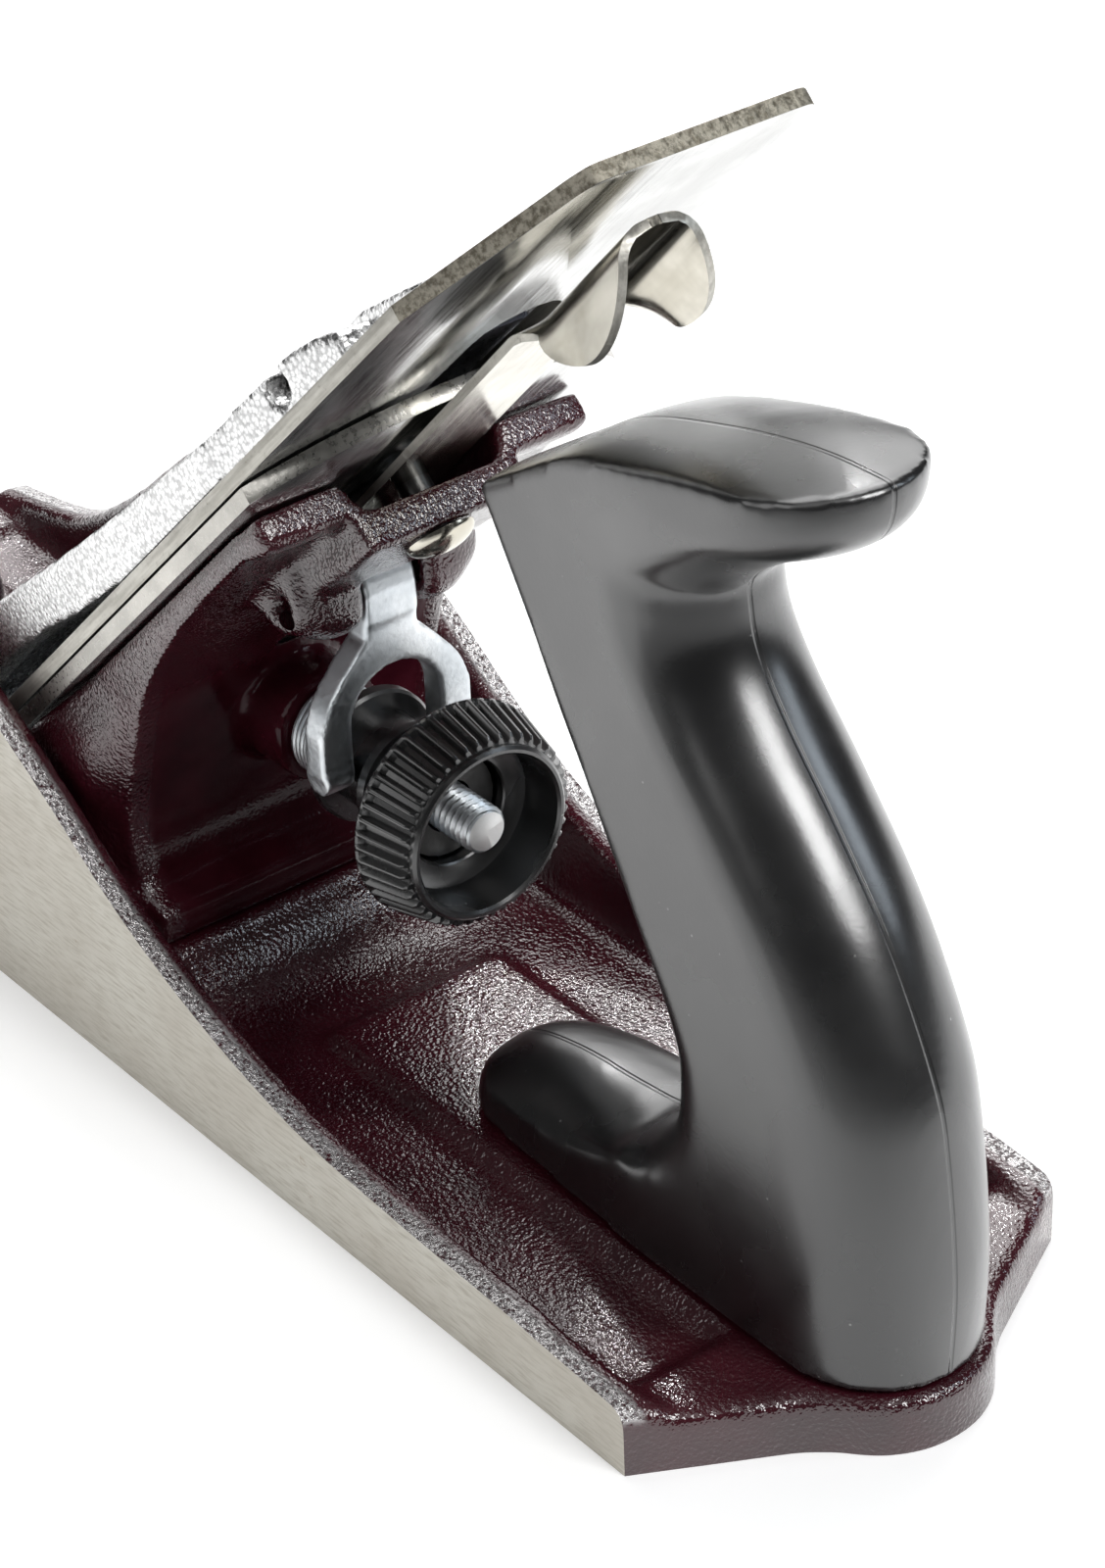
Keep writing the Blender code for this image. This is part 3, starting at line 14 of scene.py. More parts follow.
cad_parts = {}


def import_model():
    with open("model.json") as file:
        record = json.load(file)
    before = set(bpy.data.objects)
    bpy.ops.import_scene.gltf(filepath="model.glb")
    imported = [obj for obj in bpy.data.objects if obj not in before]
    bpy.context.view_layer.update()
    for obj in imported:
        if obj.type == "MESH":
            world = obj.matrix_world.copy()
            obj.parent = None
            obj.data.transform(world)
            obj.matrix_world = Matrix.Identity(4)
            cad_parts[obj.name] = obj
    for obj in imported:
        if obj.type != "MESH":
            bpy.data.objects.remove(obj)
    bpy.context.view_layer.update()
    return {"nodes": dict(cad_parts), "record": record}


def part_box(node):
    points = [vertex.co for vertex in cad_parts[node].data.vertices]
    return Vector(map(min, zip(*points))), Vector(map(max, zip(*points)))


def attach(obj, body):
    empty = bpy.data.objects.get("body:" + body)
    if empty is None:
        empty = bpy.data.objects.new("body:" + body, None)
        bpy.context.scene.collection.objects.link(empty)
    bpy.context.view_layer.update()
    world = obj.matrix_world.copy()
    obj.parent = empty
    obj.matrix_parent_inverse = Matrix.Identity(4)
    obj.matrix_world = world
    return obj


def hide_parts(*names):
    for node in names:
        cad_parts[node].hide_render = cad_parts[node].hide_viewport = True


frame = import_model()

MM = 0.001
NODES = frame["nodes"]
BODIES = frame["record"]["behaviour"]["bodies"]
BODY_OF = {node: body for body, nodes in BODIES.items() for node in nodes}


# Places that the CAD model fixes

BED_FOOT = 52.8
BED_ANGLE = math.radians(45.0)
HEEL_CORNER = -101.5
BED = Matrix.Translation((BED_FOOT * MM, 0, 0)) @ Matrix.Rotation(BED_ANGLE, 4, "Y")
UPRIGHT = Matrix.Identity(4)


def bed_place(place):
    """Distance up the bed and height above it of a place given in millimetres."""
    along = place.x - BED_FOOT
    return (place.z * math.sin(BED_ANGLE) - along * math.cos(BED_ANGLE),
            place.z * math.cos(BED_ANGLE) + along * math.sin(BED_ANGLE))


def bed_to_world(s, n):
    """Place along and above the sole of a point given up the bed and above it."""
    return (BED_FOOT + n * math.sin(BED_ANGLE) - s * math.cos(BED_ANGLE),
            s * math.sin(BED_ANGLE) + n * math.cos(BED_ANGLE))


# Outlines and meshes

def curve(points, steps):
    """Smooth curve through the points, with a number of steps in each stretch."""
    ends = [points[0]] + list(points) + [points[-1]]
    result = []
    for index in range(len(points) - 1):
        a, b, c, d = [Vector(p) for p in ends[index:index + 4]]
        for step in range(steps):
            t = step / steps
            blend = (b * 2 + (c - a) * t + (a * 2 - b * 5 + c * 4 - d) * t ** 2
                     + (b * 3 - a - c * 3 + d) * t ** 3) * 0.5
            result.append(tuple(blend))
    result.append(tuple(points[-1]))
    return result


def level(points, value):
    """Second number of a polyline where its first number has the given value."""
    if value <= points[0][0]:
        return points[0][1]
    for (a, low), (b, high) in zip(points, points[1:]):
        if value <= b:
            return low + (high - low) * (value - a) / (b - a)
    return points[-1][1]


def ease(value):
    """Share that goes smoothly from 0 to 1."""
    share = min(max(value, 0), 1)
    return share * share * (3 - 2 * share)


def skin(rings, closed=False):
    """Mesh skinned over rings of points; a ring of one point is a tip."""
    mesh = bmesh.new()
    loops = [[mesh.verts.new(point) for point in ring] for ring in rings]
    pairs = list(zip(loops, loops[1:]))
    if closed:
        pairs.append((loops[-1], loops[0]))
    for lower, upper in pairs:
        count = max(len(lower), len(upper))
        for index in range(count):
            after = (index + 1) % count
            corners = [lower[index % len(lower)], lower[after % len(lower)],
                       upper[after % len(upper)], upper[index % len(upper)]]
            mesh.faces.new(list(dict.fromkeys(corners)))
    if not closed:
        for loop in (loops[0], loops[-1]):
            if len(loop) > 2:
                mesh.faces.new(loop)
    bmesh.ops.recalc_face_normals(mesh, faces=mesh.faces)
    return mesh


def turned(profile, sides, centre, axis="Z"):
    """Solid of revolution about Z or Y; the profile gives the radius at each place along the axis."""
    rings = []
    for radius, height in profile:
        ring = []
        for index in range(sides if radius > 0 else 1):
            angle = 2 * math.pi * index / sides
            a = centre[0] + radius * math.cos(angle)
            b = centre[1] + radius * math.sin(angle)
            ring.append((a, b, height) if axis == "Z" else (a, height, b))
        rings.append(ring)
    return skin(rings)


def prism(outline, half_width):
    """Solid with an outline of x and z that reaches a half width to both sides of the middle."""
    return skin([[(x, y, z) for x, z in outline] for y in (-half_width, half_width)])


def block(low, high):
    """Box between two corners, as a cutting tool."""
    mesh = bmesh.new()
    bmesh.ops.create_cube(mesh, size=1)
    for vertex in mesh.verts:
        vertex.co = [lo + (hi - lo) * (c + 0.5) for lo, hi, c in zip(low, high, vertex.co)]
    return mesh


# Objects

WELD = 0.001
SAME_PLANE = math.radians(0.5)


def new_object(name, mesh, matrix=UPRIGHT):
    """Object from a mesh in millimetres, given in the frame of the matrix."""
    for vertex in mesh.verts:
        vertex.co *= MM
    data = bpy.data.meshes.new(name)
    mesh.to_mesh(data)
    mesh.free()
    result = bpy.data.objects.new(name, data)
    result.matrix_world = matrix
    bpy.context.scene.collection.objects.link(result)
    return result


def copy_of(node, matrix=UPRIGHT):
    """Millimetre mesh of a CAD node in the frame of the matrix, with its split edges welded."""
    mesh = bmesh.new()
    mesh.from_mesh(NODES[node].data)
    mesh.transform(Matrix.Scale(1 / MM, 4) @ matrix.inverted())
    bmesh.ops.remove_doubles(mesh, verts=mesh.verts, dist=WELD)
    bmesh.ops.dissolve_limit(mesh, angle_limit=SAME_PLANE, verts=mesh.verts, edges=mesh.edges)
    return mesh


def apply_modifiers(obj):
    """Makes the result of an object's modifiers its mesh."""
    graph = bpy.context.evaluated_depsgraph_get()
    data = bpy.data.meshes.new_from_object(obj.evaluated_get(graph))
    obj.modifiers.clear()
    obj.data = data
    return obj


def soften(obj, voxel, rounds, keep=1.0, melt=None, melt_rounds=0):
    """Turns a solid into an evenly rounded casting: fine even faces, smoothed, then thinned to a share.

    The places that pass the melt test, given in millimetres, are smoothed by further rounds.
    """
    remesh = obj.modifiers.new("remesh", "REMESH")
    remesh.mode = "VOXEL"
    remesh.voxel_size = voxel * MM
    apply_modifiers(obj)
    if melt:
        group = obj.vertex_groups.new(name="melt")
        group.add([v.index for v in obj.data.vertices if melt(v.co / MM)], 1.0, "REPLACE")
        add_smoothing(obj, melt_rounds, "melt")
    add_smoothing(obj, rounds)
    if keep < 1:
        thin = obj.modifiers.new("thin", "DECIMATE")
        thin.ratio = keep
    apply_modifiers(obj)


def add_smoothing(obj, rounds, group=""):
    """Adds rounds of smoothing, all over or for a vertex group."""
    smooth = obj.modifiers.new("smooth", "SMOOTH")
    smooth.factor = 0.5
    smooth.iterations = rounds
    smooth.vertex_group = group


def boolean(obj, operation, tool_mesh):
    """Exact boolean with a tool that is then thrown away."""
    tool = new_object(obj.name + "_tool", tool_mesh, obj.matrix_world.copy())
    modifier = obj.modifiers.new("cut", "BOOLEAN")
    modifier.operation = operation
    modifier.object = tool
    apply_modifiers(obj)
    bpy.data.objects.remove(tool)


DRILL_SIDES = 24


def drill(obj, radius, reach, centre):
    """Drills a hole along Y, through a centre of x and z in the object's frame and a reach to both sides."""
    profile = [(0, -reach), (radius, -reach), (radius, reach), (0, reach)]
    boolean(obj, "DIFFERENCE", turned(profile, DRILL_SIDES, centre, "Y"))


BEVEL_SEGMENTS = 2
BEVEL_ANGLE = 35


def edge_bevel(obj, width):
    """Breaks the sharp edges of a plate."""
    bevel = obj.modifiers.new("bevel", "BEVEL")
    bevel.width = width * MM
    bevel.segments = BEVEL_SEGMENTS
    bevel.limit_method = "ANGLE"
    bevel.angle_limit = math.radians(BEVEL_ANGLE)
    return apply_modifiers(obj)


def finish(obj, node, *materials, sharp=40):
    """Gives a piece its finish and puts it in the CAD node's place."""
    obj.data.materials.clear()
    for material in materials:
        obj.data.materials.append(material)
    obj.data.shade_smooth()
    obj.data.set_sharp_from_angle(angle=math.radians(sharp))
    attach(obj, BODY_OF[node])
    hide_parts(node)
    return obj


# Materials

class Finish:
    """One procedural material; its methods add shader nodes and give back their outputs.

    Scales of noise and cells count features per metre. Colours are linear.
    """

    def __init__(self, name):
        self.material = bpy.data.materials.new(name)
        self.material.use_nodes = True
        self.tree = self.material.node_tree
        self.shader = self.tree.nodes["Principled BSDF"]
        coordinates = self.tree.nodes.new("ShaderNodeTexCoord")
        self.place = coordinates.outputs["Object"]
        self.normal = coordinates.outputs["Normal"]

    def add(self, kind, inputs, **settings):
        node = self.tree.nodes.new("ShaderNode" + kind)
        for key, value in settings.items():
            setattr(node, key, value)
        for key, value in inputs.items():
            self.feed(node.inputs[key], value)
        return node

    def feed(self, socket, value):
        if isinstance(value, bpy.types.NodeSocket):
            self.tree.links.new(value, socket)
        else:
            socket.default_value = value

    def stretched(self, scale):
        return self.add("Mapping", {"Vector": self.place, "Scale": scale}).outputs["Vector"]

    def noise(self, scale, detail=4.0, roughness=0.55, vector=None):
        inputs = {"Vector": vector or self.place, "Scale": scale, "Detail": detail, "Roughness": roughness}
        return self.add("TexNoise", inputs).outputs["Fac"]

    def cells(self, scale):
        return self.add("TexVoronoi", {"Vector": self.place, "Scale": scale}).outputs["Distance"]

    def axis(self, name, source=None):
        return self.add("SeparateXYZ", {"Vector": source or self.place}).outputs[name]

    def math(self, operation, a, b=0.0):
        node = self.add("Math", {}, operation=operation)
        self.feed(node.inputs[0], a)
        self.feed(node.inputs[1], b)
        return node.outputs[0]

    def band(self, value, low, high, start=0.0, stop=1.0):
        """Value taken smoothly from one range to another."""
        inputs = {"Value": value, "From Min": low, "From Max": high, "To Min": start, "To Max": stop}
        return self.add("MapRange", inputs, interpolation_type="SMOOTHSTEP").outputs["Result"]

    def blend(self, share, a, b):
        node = self.add("Mix", {}, data_type="RGBA")
        self.feed(node.inputs["Factor"], share)
        for name, colour in (("A", a), ("B", b)):
            socket = [s for s in node.inputs if s.name == name and s.type == "RGBA"][0]
            self.feed(socket, colour if isinstance(colour, bpy.types.NodeSocket) else (*colour, 1.0))
        return [s for s in node.outputs if s.type == "RGBA"][0]

    def bump(self, height, depth, under=None):
        """Surface relief of a depth in millimetres."""
        inputs = {"Height": height, "Distance": depth * MM, "Strength": 1.0}
        if under is not None:
            inputs["Normal"] = under
        return self.add("Bump", inputs).outputs["Normal"]

    def set(self, **inputs):
        for key, value in inputs.items():
            socket = self.shader.inputs[key.replace("_", " ")]
            if socket.type == "RGBA" and not isinstance(value, bpy.types.NodeSocket):
                value = (*value, 1.0)
            self.feed(socket, value)
        return self.material


MAROON_DEEP = (0.034, 0.0040, 0.0080)
MAROON_LIGHT = (0.060, 0.0085, 0.0150)
ENAMEL_SPECULAR = 0.9
ENAMEL_COAT = 0.5
# Share of grain, specular and coat left in the frog's hollow back; the low specular and coat there are painted
# shade.
SHADED_HOLLOW_SHARE = 0.15
FROG_TOP_BAND = (46 * MM, 54 * MM)
FROG_FLANK_BAND = (19 * MM, 21 * MM)
CHEEK_RIM_BAND = (28.4 * MM, 29.3 * MM)
CHEEK_RIM_SLOPE = (0.10, 0.45)
# Pale metal colour of the painted sparkle highlight on the rounded top edge of the cheeks.
RIM_SPARKLE_HIGHLIGHT = (0.62, 0.60, 0.60)


def paint(f, grainy):
    """Colour, relief and gloss of maroon enamel over a casting's grain, which shows by a share from 0 to 1."""
    patches = f.noise(70, 3)
    colour = f.blend(f.band(patches, 0.35, 0.65), MAROON_DEEP, MAROON_LIGHT)
    relief = f.bump(f.math("MULTIPLY", f.noise(700, 2, 0.5), grainy), 0.02)
    relief = f.bump(f.math("MULTIPLY", f.noise(2100, 1, 0.5), grainy), 0.17, relief)
    gloss = f.band(f.noise(300, 2), 0.3, 0.7, 0.07, 0.15)
    return colour, relief, gloss


def enamel(name):
    """Enamel of the frog: grainy on its top and flanks, smooth in its hollow back, whose specular and coat are
    turned down there as painted shade.
    """
    f = Finish(name)
    top = f.band(f.axis("Z"), *FROG_TOP_BAND, SHADED_HOLLOW_SHARE, 1.0)
    flank = f.band(f.math("ABSOLUTE", f.axis("Y")), *FROG_FLANK_BAND, SHADED_HOLLOW_SHARE, 1.0)
    grainy = f.math("MAXIMUM", top, flank)
    colour, relief, gloss = paint(f, grainy)
    # The hollow back's specular and coat follow the grain share down: painted shade that darkens the hollow.
    return f.set(Base_Color=colour, Roughness=gloss, Normal=relief,
                 Specular_IOR_Level=f.math("MULTIPLY", grainy, ENAMEL_SPECULAR),
                 Coat_Weight=f.math("MULTIPLY", grainy, ENAMEL_COAT), Coat_Roughness=gloss, Coat_Normal=relief)


def casting(name):
    """Enamel with a silvery metallic grain along the outer edge of the cheeks, which is a painted sparkle
    highlight.
    """
    f = Finish(name)
    colour, relief, gloss = paint(f, 1.0)
    side = f.math("ABSOLUTE", f.axis("Y"))
    rim = f.math("MULTIPLY", f.band(side, *CHEEK_RIM_BAND), f.band(f.axis("Z", f.normal), *CHEEK_RIM_SLOPE))
    grain = f.noise(2000, 3, 0.6)
    rim = f.math("MULTIPLY", rim, f.band(grain, 0.36, 0.50))
    # The rim's rough grain is relief; its pale metal colour is a painted sparkle highlight on the enamel.
    colour = f.blend(rim, colour, RIM_SPARKLE_HIGHLIGHT)
    relief = f.bump(f.math("MULTIPLY", grain, rim), 0.30, relief)
    return f.set(Base_Color=colour, Roughness=gloss, Normal=relief, Metallic=f.math("MULTIPLY", rim, 0.8),
                 Specular_IOR_Level=ENAMEL_SPECULAR, Coat_Weight=ENAMEL_COAT, Coat_Roughness=gloss,
                 Coat_Normal=relief)


def ground_iron(name):
    """Ground grey iron: fine lengthwise scratches, close grain and a few brown spots."""
    f = Finish(name)
    scratches = f.noise(2900, 3, 0.6, f.stretched((0.10, 1, 1)))
    grain = f.noise(2600, 3, 0.6)
    cloud = f.noise(60, 3, 0.5)
    tone = f.blend(f.band(cloud, 0.3, 0.7), (0.53, 0.50, 0.44), (0.60, 0.58, 0.52))
    tone = f.blend(f.band(scratches, 0.42, 0.75), tone, (0.46, 0.43, 0.37))
    rust = f.math("MULTIPLY", f.band(f.noise(150, 4, 0.6), 0.66, 0.74), f.band(grain, 0.45, 0.6))
    colour = f.blend(f.math("MULTIPLY", rust, 0.7), tone, (0.24, 0.15, 0.07))
    relief = f.bump(grain, 0.03)
    relief = f.bump(scratches, 0.012, relief)
    gloss = f.band(scratches, 0.3, 0.7, 0.40, 0.52)
    return f.set(Base_Color=colour, Metallic=0.75, Roughness=gloss, Normal=relief)


def hammered_chrome(name):
    """Chrome over a finely speckled casting."""
    f = Finish(name)
    dimples = f.cells(1700)
    grain = f.noise(2300, 2, 0.6)
    colour = f.blend(f.band(dimples, 0.35, 0.75), (0.88, 0.88, 0.88), (0.54, 0.54, 0.54))
    relief = f.bump(dimples, 0.07)
    relief = f.bump(grain, 0.04, relief)
    return f.set(Base_Color=colour, Metallic=1.0, Roughness=f.band(grain, 0.3, 0.7, 0.20, 0.34), Normal=relief)


def bright_steel(name, dark, light, lengthwise=True, rough=(0.14, 0.26), relief_depth=0.012):
    """Brushed or plated steel with faint marks along one direction."""
    f = Finish(name)
    stretch = (0.04, 1, 1) if lengthwise else (1, 1, 1)
    brush = f.noise(1600, 4, 0.6, f.stretched(stretch))
    cloud = f.noise(90, 4, 0.6)
    colour = f.blend(f.band(cloud, 0.3, 0.7), dark, light)
    relief = f.bump(brush, relief_depth)
    return f.set(Base_Color=colour, Metallic=1.0, Roughness=f.band(brush, 0.3, 0.7, *rough), Normal=relief)


def sheared_edge(name):
    """Finely lined, grey-tan edge of a blanked plate."""
    f = Finish(name)
    lines = f.noise(1500, 4, 0.6, f.stretched((0.06, 1, 1)))
    grain = f.noise(1700, 4, 0.7)
    colour = f.blend(f.band(lines, 0.3, 0.7), (0.40, 0.385, 0.345), (0.60, 0.585, 0.535))
    colour = f.blend(f.band(grain, 0.60, 0.76), colour, (0.25, 0.23, 0.19))
    relief = f.bump(grain, 0.05)
    return f.set(Base_Color=colour, Metallic=0.85, Roughness=f.band(grain, 0.3, 0.7, 0.3, 0.5), Normal=relief)


def torn_edge(name):
    """Rough, grey-brown edge where the plate was cropped."""
    f = Finish(name)
    grain = f.noise(1300, 5, 0.7)
    pits = f.cells(900)
    colour = f.blend(f.band(grain, 0.35, 0.62), (0.13, 0.115, 0.085), (0.37, 0.345, 0.285))
    relief = f.bump(grain, 0.14)
    relief = f.bump(pits, 0.10, relief)
    return f.set(Base_Color=colour, Metallic=0.7, Roughness=f.band(grain, 0.3, 0.7, 0.32, 0.55), Normal=relief)


def black_plastic(name, seam=False):
    """Satin black moulding with faint scuffs and dust, and a parting line along its middle if it has a seam."""
    f = Finish(name)
    cloud = f.noise(45, 4, 0.6)
    colour = f.blend(f.band(cloud, 0.3, 0.7), (0.0060, 0.0060, 0.0064), (0.0100, 0.0100, 0.0105))
    scuff = f.math("MULTIPLY", f.band(f.noise(900, 5, 0.7, f.stretched((1, 0.25, 0.35))), 0.64, 0.74),
                   f.band(f.noise(130, 3), 0.52, 0.66))
    colour = f.blend(f.math("MULTIPLY", scuff, 0.5), colour, (0.09, 0.09, 0.09))
    dust = f.math("MULTIPLY", f.band(f.cells(420), 0.03, 0.09, 1.0, 0.0), f.band(f.noise(210, 2), 0.55, 0.62))
    colour = f.blend(f.math("MULTIPLY", dust, 0.8), colour, (0.32, 0.32, 0.31))
    relief = f.bump(f.noise(1800, 3, 0.6), 0.008)
    relief = f.bump(f.noise(60, 2), 0.05, relief)
    if seam:
        line = f.band(f.math("ABSOLUTE", f.axis("Y")), 0.10 * MM, 0.38 * MM)
        relief = f.bump(line, 0.10, relief)
    gloss = f.band(cloud, 0.3, 0.7, 0.23, 0.31)
    return f.set(Base_Color=colour, Roughness=gloss, Normal=relief, Specular_IOR_Level=1.0, Coat_Weight=0.7,
                 Coat_Roughness=gloss, Coat_Normal=relief)


def brass(name):
    """Plain turned brass."""
    f = Finish(name)
    brush = f.noise(1500, 4, 0.6)
    colour = f.blend(f.band(brush, 0.3, 0.7), (0.55, 0.38, 0.16), (0.75, 0.56, 0.28))
    return f.set(Base_Color=colour, Metallic=1.0, Roughness=f.band(brush, 0.3, 0.7, 0.22, 0.38),
                 Normal=f.bump(brush, 0.02))


CASTING = casting("casting_enamel")
ENAMEL = enamel("frog_enamel")
GROUND = ground_iron("ground_iron")
HAMMERED = hammered_chrome("hammered_chrome")
PLATE = bright_steel("ground_plate", (0.60, 0.60, 0.59), (0.78, 0.78, 0.77))
PLAIN_STEEL = bright_steel("plain_steel", (0.42, 0.41, 0.38), (0.60, 0.58, 0.54), False, (0.24, 0.38), 0.03)
ZINC = bright_steel("zinc_plating", (0.62, 0.66, 0.69), (0.90, 0.93, 0.95), False, (0.32, 0.45), 0.03)
NICKEL = bright_steel("nickel_plating", (0.53, 0.50, 0.42), (0.74, 0.71, 0.63), True, (0.12, 0.22), 0.008)
# Near-black steel for small parts that sit in holes, deep in the wheel's cup or under the lever: painted shade.
SHADE_DARK_STEEL = bright_steel("shade_dark_steel", (0.06, 0.06, 0.06), (0.11, 0.11, 0.108), False, (0.30, 0.45), 0.03)
CUT_END = bright_steel("cut_end", (0.86, 0.86, 0.85), (0.95, 0.95, 0.94), False, (0.50, 0.62), 0.02)
BLUED = bright_steel("blued_spring", (0.10, 0.10, 0.12), (0.24, 0.24, 0.27), True, (0.25, 0.4), 0.02)
SHEARED = sheared_edge("sheared_edge")
TORN = torn_edge("torn_edge")
TOTE_PLASTIC = black_plastic("tote_plastic", seam=True)
KNOB_PLASTIC = black_plastic("knob_plastic")
WHEEL_PLASTIC = black_plastic("wheel_plastic")
BRASS = brass("brass")


# Body casting

HALF_WIDTH = 31.0
GRIND = 2.0
GROUND_LOSS = 0.005
FLAT_NORMAL = 0.95
HEEL_SLOPE = 0.55

# Nearer than these counts as being on the side or on a ground face
ON_SIDE = 0.1
ON_FACE = 0.05

SEAT_FILLET = [(-2.5, 13.0), (-5.4, 13.0), (-6.4, 10.4), (-8.8, 7.6), (-12.5, 5.6), (-17, 4.7), (-17, 3),
               (-2.5, 3)]
SEAT_FILLET_HALF = 27.6
MOUTH = [(2.0, -2.0), (7.5, -2.0), (7.5, 7.0), (-6.0, 20.0), (-19.0, 19.0)]
MOUTH_HALF = 26.5
BEYOND_ENDS = 150
BEYOND_TOP = 100


def body_casting():
    """Casting with rounded edges whose sole and sides are then ground flat, and its mouth and bed milled."""
    mesh = copy_of("body_casting")
    for vertex in mesh.verts:
        if abs(vertex.co.y) > HALF_WIDTH - ON_SIDE:
            vertex.co.y += math.copysign(GRIND, vertex.co.y)
            if abs(vertex.co.x - HEEL_CORNER) < ON_SIDE:
                vertex.co.x += HEEL_SLOPE * GRIND
        if vertex.co.z < ON_FACE:
            vertex.co.z -= GRIND
    body = new_object("body_casting_skin", mesh)
    boolean(body, "UNION", prism(SEAT_FILLET, SEAT_FILLET_HALF))
    soften(body, voxel=0.95, rounds=9, keep=0.55)
    boolean(body, "DIFFERENCE", prism([(BED_FOOT + x, z) for x, z in MOUTH], MOUTH_HALF))
    half = HALF_WIDTH - GROUND_LOSS
    boolean(body, "INTERSECT", block((-BEYOND_ENDS, -half, GROUND_LOSS), (BEYOND_ENDS, half, BEYOND_TOP)))
    finish(body, "body_casting", CASTING, GROUND, sharp=38)
    for face in body.data.polygons:
        on_side = abs(face.center.y) > (half - ON_FACE) * MM and abs(face.normal.y) > FLAT_NORMAL
        on_sole = face.center.z < ON_FACE * MM and face.normal.z < -FLAT_NORMAL
        face.material_index = 1 if on_side or on_sole else 0


# Frog

YOKE_PIN_S = 96.0
YOKE_PIN_N = -7.6
YOKE_HOLE = 1.75
YOKE_HOLE_REACH = 20
LUG_REACH = 13
LUG_TOP = -2.5
LUG_SPAN = (4.6, 18)
LUG_FOOT = -3.6
LUG_FALL = 0.4
LUG_SLOPE_START = 9.5
LUG_SLOPE_LENGTH = 5.0
FROG_REAR = [(13, -4.7), (18.3, -4.0), (20.5, -0.2), (27.7, 1.3), (38.2, -0.9), (47.7, -4.2), (57, -10.3)]
FLANK_HALF = 19.0
FLANK_TOP = 47.0
FLANK_HEIGHT = 14.0
FLANK_DEPTH = 7.0
FLANK_SPREAD = 3.0
EAR = [(112.0, -1.0), (112.0, -3.4), (113.6, -4.1), (117.3, -4.1), (117.3, -1.0)]
EAR_SPAN = (10.5, 22.6)
EAR_CORNER_S = 112.5
EAR_CORNER_Y = 17.5


def near_lug(place):
    """Tells whether a place of the frog is on a yoke lug."""
    s, n = bed_place(place)
    inner, outer = LUG_SPAN
    return math.hypot(s - YOKE_PIN_S, n - YOKE_PIN_N) < LUG_REACH and n < LUG_TOP and inner < abs(place.y) < outer


def rounded_off(place):
    """Tells whether a place of the frog is on a yoke lug or at an outer corner of its top."""
    return near_lug(place) or (bed_place(place)[0] > EAR_CORNER_S and abs(place.y) > EAR_CORNER_Y)


def sloped_lugs(mesh):
    """Lets the outer end of each yoke lug fall away to the back of the frog."""
    bmesh.ops.subdivide_edges(mesh, edges=mesh.edges, cuts=1)
    for vertex in mesh.verts:
        s, n = bed_place(vertex.co)
        if near_lug(vertex.co) and n < LUG_FOOT:
            fall = LUG_FALL * ease((abs(vertex.co.y) - LUG_SLOPE_START) / LUG_SLOPE_LENGTH)
            x, z = bed_to_world(s, n + (LUG_FOOT - n) * fall)
            vertex.co.x, vertex.co.z = x, z
    return mesh


def frog():
    """Frog with thick ears and melted lugs, whose flanks spread towards the cheeks below its back edge."""
    obj = new_object("frog_skin", sloped_lugs(copy_of("frog")))
    ear = [bed_to_world(s, n) for s, n in EAR]
    for side in (-1, 1):
        boolean(obj, "UNION", skin([[(x, side * y, z) for x, z in ear] for y in EAR_SPAN]))
    soften(obj, voxel=0.7, rounds=6, keep=0.6, melt=rounded_off, melt_rounds=16)
    for vertex in obj.data.vertices:
        place = vertex.co / MM
        below_top = ease((FLANK_TOP - place.z) / FLANK_HEIGHT)
        ahead_of_rear = ease((place.x - level(FROG_REAR, place.z)) / FLANK_DEPTH)
        if abs(place.y) > FLANK_HALF:
            vertex.co.y += math.copysign(FLANK_SPREAD * (below_top * ahead_of_rear) * MM, place.y)
    drill(obj, YOKE_HOLE, YOKE_HOLE_REACH, bed_to_world(YOKE_PIN_S, YOKE_PIN_N))
    finish(obj, "frog", ENAMEL)


# Irons

RIM_NORMAL = 0.6
CUTTER_CROP = 166.8
CUTTER_BEVEL = 0.22
CAP_IRON_BEVEL = 0.2


def rim_faces(obj):
    """Faces round the rim of a plate that lies on the bed."""
    return [face for face in obj.data.polygons if abs(face.normal.z) < RIM_NORMAL]


def cutter():
    """Ground plate with sheared sides and a cropped upper end."""
    obj = edge_bevel(new_object("cutter_plate", copy_of("cutter", BED), BED), CUTTER_BEVEL)
    finish(obj, "cutter", PLATE, SHEARED, TORN, sharp=30)
    for face in rim_faces(obj):
        face.material_index = 2 if face.center.x < -CUTTER_CROP * MM else 1


def cap_iron():
    """Ground plate with plain edges."""
    obj = edge_bevel(new_object("cap_iron_plate", copy_of("cap_iron", BED), BED), CAP_IRON_BEVEL)
    finish(obj, "cap_iron", PLATE, PLAIN_STEEL, sharp=30)
    for face in rim_faces(obj):
        face.material_index = 1


# Depth adjuster

STUD_HEIGHT = 37.6
STUD_RADIUS = 3.0
STUD_COLLAR_RADIUS = 6.0
STUD_COLLAR_LENGTH = 3.0
STUD_SEAT_DEPTH = 10.0
STUD_GAP = 0.3
STUD_TIP_DEPTH = 0.01
STUD_SIDES = 40
COLLAR_RINGS = 4
COLLAR_RING_SHAPE = [(0.02, 0.30), (0.30, 0.0), (0.70, 0.0), (0.98, 0.30)]
THREAD_PITCH = 1.0
THREAD_DEPTH = 0.55
THREAD_STEPS = 14
THREAD_CREST = 0.82
WHEEL_RIBS = 46
WHEEL_RIB_DEPTH = 0.95
WHEEL_RIB = [(0.00, 0.35), (0.07, 0.08), (0.15, 0.0), (0.23, 0.0), (0.31, 0.08), (0.38, 0.35), (0.45, 0.88),
             (0.50, 1.0), (0.88, 1.0), (0.93, 0.88)]
